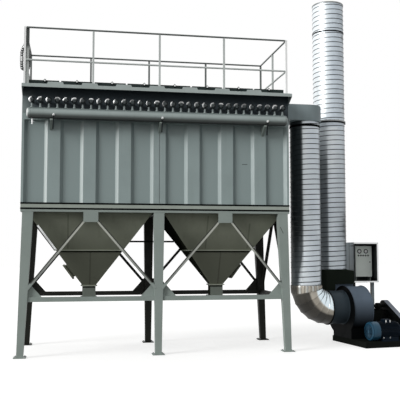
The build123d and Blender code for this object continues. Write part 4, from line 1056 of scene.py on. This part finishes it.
motor = {
    "y": -0.79,
    "z": 0.325,
    "start": 1.075,
    "cowlLength": 0.19,
    "length": 0.50,
    "fins": 44,
    "finFoot": 0.178,
    "finCrest": 0.203,
    "finHalf": 0.004,
    "cowl": [(0.0, -0.004), (0.110, -0.004), (0.158, -0.003), (0.187, 0.006), (0.200, 0.03), (0.2025, 0.06),
             (0.2025, 0.176), (0.199, 0.192), (0.18, 0.194)],
    "grille": (0.05, 0.075, 0.10, 0.125, 0.15),
    "greasePoints": [(1.46, -0.86, 0.50), (1.56, -0.86, 0.50)],
    "footBolts": [(1.345, -0.95, 0.185), (1.50, -0.95, 0.185)],
    "bracket": [(0.06, 0.72), (-0.12, 0.70), (-0.45, 0.46), (-0.30, 0.15), (0.06, 0.15)],
    "bracketX": (1.908, 1.913, 1.920, 1.925),
}
motorEnd = (motor["start"], motor["y"], motor["z"])
onMotor = {"slot": "motor_paint", "turnPoints": turnFan}


def makeMotorFins():
    # cooling fins: a thin plate at each angle, from the shell out to the fin's crest, along the motor
    angle = fullTurn(motor["fins"])
    angle = angle[np.abs((np.degrees(angle) + 270) % 360 - 180) > 38]  # none over the feet
    start = motor["start"] + motor["cowlLength"] + 0.01
    corners = []
    for out in (motor["finFoot"], motor["finCrest"]):
        for half in (-motor["finHalf"], motor["finHalf"]):
            y = motor["y"] + out * np.cos(angle) - half * np.sin(angle)
            z = motor["z"] + out * np.sin(angle) + half * np.cos(angle)
            corners += [np.stack([np.full_like(y, x), y, z], axis=-1) for x in (start, start + motor["length"] - 0.05)]
    makePiece("motorFins", np.stack(corners, axis=1), boxFaces(len(angle)), motorPaint, **onMotor)


makeMotorFins()
makeTurned("motorCowl", motor["cowl"], 48, motorEnd, toRight, cowlPaint, **onMotor)
grilleRings = [(radius + d, h) for radius in motor["grille"] for d, h in
               ((-0.004, -0.003), (-0.003, -0.009), (0.003, -0.009), (0.004, -0.003))]
makeTurned("cowlGrille", [*grilleRings, (0.154, 0.0), (0.046, 0.0)], 36, motorEnd, toRight, motorPaint, **onMotor)
makeBlocks("terminalBox", (1.5, motor["y"], 0.535), (0.16, 0.15, 0.08), motorPaint, bevel=0.008, **onMotor)
makeTurned("greasePoints", [(0, 0), (0.013, 0), (0.013, 0.05), (0.009, 0.058), (0, 0.058)], 10,
           motor["greasePoints"], upward, whitePaint, **onMotor)
bracket = np.array(motor["bracket"])
bracketPath = [(x, *bracket.mean(axis=0)) for x in motor["bracketX"]]
makeRun("guardBracket", (bracket - bracket.mean(axis=0)) * (-1, 1), [bracketPath], upward, blackPaint, "fan_paint",
        turnPoints=turnFan, sharpAngle=30, bevel=0.003)
makeTurned("motorFootBolts", boltProfile(0.018, 0.03), 6, motor["footBolts"], upward, boltZinc, **onMotor)
print("fan unit made")


# control cabinet

panel = {
    "gaugeX": (0.098, 0.260),
    "gaugeHeight": 0.60,
    "buttonX": (0.075, 0.135, 0.195, 0.255, 0.315),
    "buttonHeight": 0.50,
    "lock": (0.360, 0.345),
}
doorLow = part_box("cabinet_door")[0]


def onDoor(x, z):
    # a place on the door's face, from its lower left corner
    return (doorLow.x + x, doorLow.y, doorLow.z + z)


gaugePlaces = [onDoor(x, panel["gaugeHeight"]) for x in panel["gaugeX"]]
needlePlaces = [(x + 0.008, y - 0.009, z + 0.008) for x, y, z in gaugePlaces]
buttonPlaces = [onDoor(x, panel["buttonHeight"]) for x in panel["buttonX"]]
for name, profile, sides, places, material in (
    ("gaugeBezels", [(0.034, -0.001), (0.052, -0.001), (0.054, 0.006), (0.050, 0.016), (0.042, 0.018),
                     (0.040, 0.010), (0.034, 0.008)], 28, gaugePlaces, darkPaint),
    ("gaugeDials", [(0, 0.007), (0.038, 0.007), (0.038, 0.002), (0, 0.002)], 28, gaugePlaces, whitePaint),
    ("gaugeNeedles", [(0, 0), (0.003, 0), (0.003, 0.002), (0, 0.002)], 8, needlePlaces, darkPaint),
    ("buttons", [(0, -0.001), (0.019, -0.001), (0.019, 0.006), (0.014, 0.008), (0.014, 0.018), (0.011, 0.022),
                 (0, 0.022)], 20, buttonPlaces, darkPaint),
    ("doorLock", [(0, -0.001), (0.014, -0.001), (0.014, 0.008), (0.010, 0.010), (0, 0.010)], 18,
     [onDoor(*panel["lock"])], darkPaint),
):
    makeTurned(name, profile, sides, places, toFront, material, "cabinet_paint", body=doorBody)

hoodLow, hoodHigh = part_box("weather_hood")
lip = {"half": 0.017, "leftHalf": 0.008, "depth": 0.008}


def makeHoodLips(name, half, ends, material):
    # folds on the hood's front edges: a low arch of metal swept from one end of an edge to the other
    depth = lip["depth"]
    section = [(-half, 0.003), (half, 0.003), (half, -depth * 0.6), (half * 0.6, -depth), (-half * 0.6, -depth),
               (-half, -depth * 0.6)]
    share = np.linspace(0, 1, 5)[:, None]
    paths = [(1 - share) * [[x0, hoodLow.y, z0]] + share * [[x1, hoodLow.y, z1]] for (x0, z0), (x1, z1) in ends]
    makeRun(name, section, paths, toRear, material, "cabinet_paint", sharpAngle=25)


lipLow, lipHigh, lipRight = hoodLow.z + lip["half"], hoodHigh.z - lip["half"], hoodHigh.x - lip["half"]
lipLeft = hoodLow.x + lip["leftHalf"] + 0.001
lipEnds = [((hoodLow.x, lipLow), (hoodHigh.x, lipLow)), ((lipRight, lipLow), (lipRight, lipHigh)),
           ((hoodHigh.x, lipHigh), (hoodLow.x, lipHigh))]
makeHoodLips("hoodLips", lip["half"], lipEnds, lipMetal)
makeHoodLips("hoodLeftLip", lip["leftHalf"], [((lipLeft, hoodHigh.z), (lipLeft, hoodLow.z))], standPaint)
print("cabinet made")


# floor, world and lamps

studio = {
    "floorColour": tone(246, 246, 245),
    "floorSize": 160.0,
    "floorGlow": 0.62,
    "worldStrength": 0.60,
    "keyStrength": 2.4,
    "keyAngle": 25,  # degrees
    "keyFrom": (-0.84, -0.40, 0.36),
}


def shownDirectly(tree):
    # 1 for the camera, and for what metal and glass show
    seen = tree.nodes.new("ShaderNodeLightPath").outputs
    shown = addMath(tree, "MAXIMUM", seen["Is Camera Ray"], seen["Is Glossy Ray"])
    return addMath(tree, "MAXIMUM", shown, seen["Is Transmission Ray"])


def makeFloor():
    # a wide flat grid under the feet
    across = np.linspace(-1, 1, 5) * studio["floorSize"] / 2
    x, y = np.meshgrid(across, across)
    points = np.stack([x, y, np.full_like(x, -0.002)], axis=-1)
    mesh = bpy.data.meshes.new("floor")
    mesh.from_pydata(points.reshape(-1, 3).tolist(), [], gridFaces(5, 5, wrap=False).tolist())
    floor = bpy.data.objects.new("floor", mesh)
    bpy.context.scene.collection.objects.link(floor)
    material = bpy.data.materials.new("floorPaint")
    material.use_nodes = True
    tree = material.node_tree
    tree.nodes.clear()
    out = tree.nodes.new("ShaderNodeOutputMaterial")
    shown = shownDirectly(tree)
    matt = tree.nodes.new("ShaderNodeBsdfDiffuse")
    tree.links.new(addMix(tree, shown, (0.16, 0.16, 0.16, 1.0), (0.6, 0.6, 0.6, 1.0)), matt.inputs["Color"])
    glow = tree.nodes.new("ShaderNodeEmission")
    glow.inputs["Color"].default_value = studio["floorColour"]
    tree.links.new(addMath(tree, "MULTIPLY", shown, studio["floorGlow"]), glow.inputs["Strength"])
    added = tree.nodes.new("ShaderNodeAddShader")
    tree.links.new(matt.outputs[0], added.inputs[0])
    tree.links.new(glow.outputs[0], added.inputs[1])
    tree.links.new(added.outputs[0], out.inputs["Surface"])
    mesh.materials.append(material)


def makeWorld():
    # an even sky that shows as white in the picture and in metal
    world = bpy.data.worlds.new("studio")
    bpy.context.scene.world = world
    world.use_nodes = True
    tree = world.node_tree
    sky = tree.nodes["Background"]
    sky.inputs["Color"].default_value = (1.0, 1.0, 1.0, 1.0)
    extra = addMath(tree, "MULTIPLY", shownDirectly(tree), 1 - studio["worldStrength"])
    tree.links.new(addMath(tree, "ADD", extra, studio["worldStrength"]), sky.inputs["Strength"])


def makeLamp():
    # one broad sun from the left
    data = bpy.data.lights.new("key", "SUN")
    data.energy = studio["keyStrength"]
    data.angle = np.radians(studio["keyAngle"])
    lamp = bpy.data.objects.new("key", data)
    x, y, z = studio["keyFrom"]
    lamp.rotation_euler = (np.arctan2(np.hypot(x, y), z), 0, np.arctan2(x, -y))
    bpy.context.scene.collection.objects.link(lamp)


makeFloor()
makeWorld()
makeLamp()
print("floor and light made")
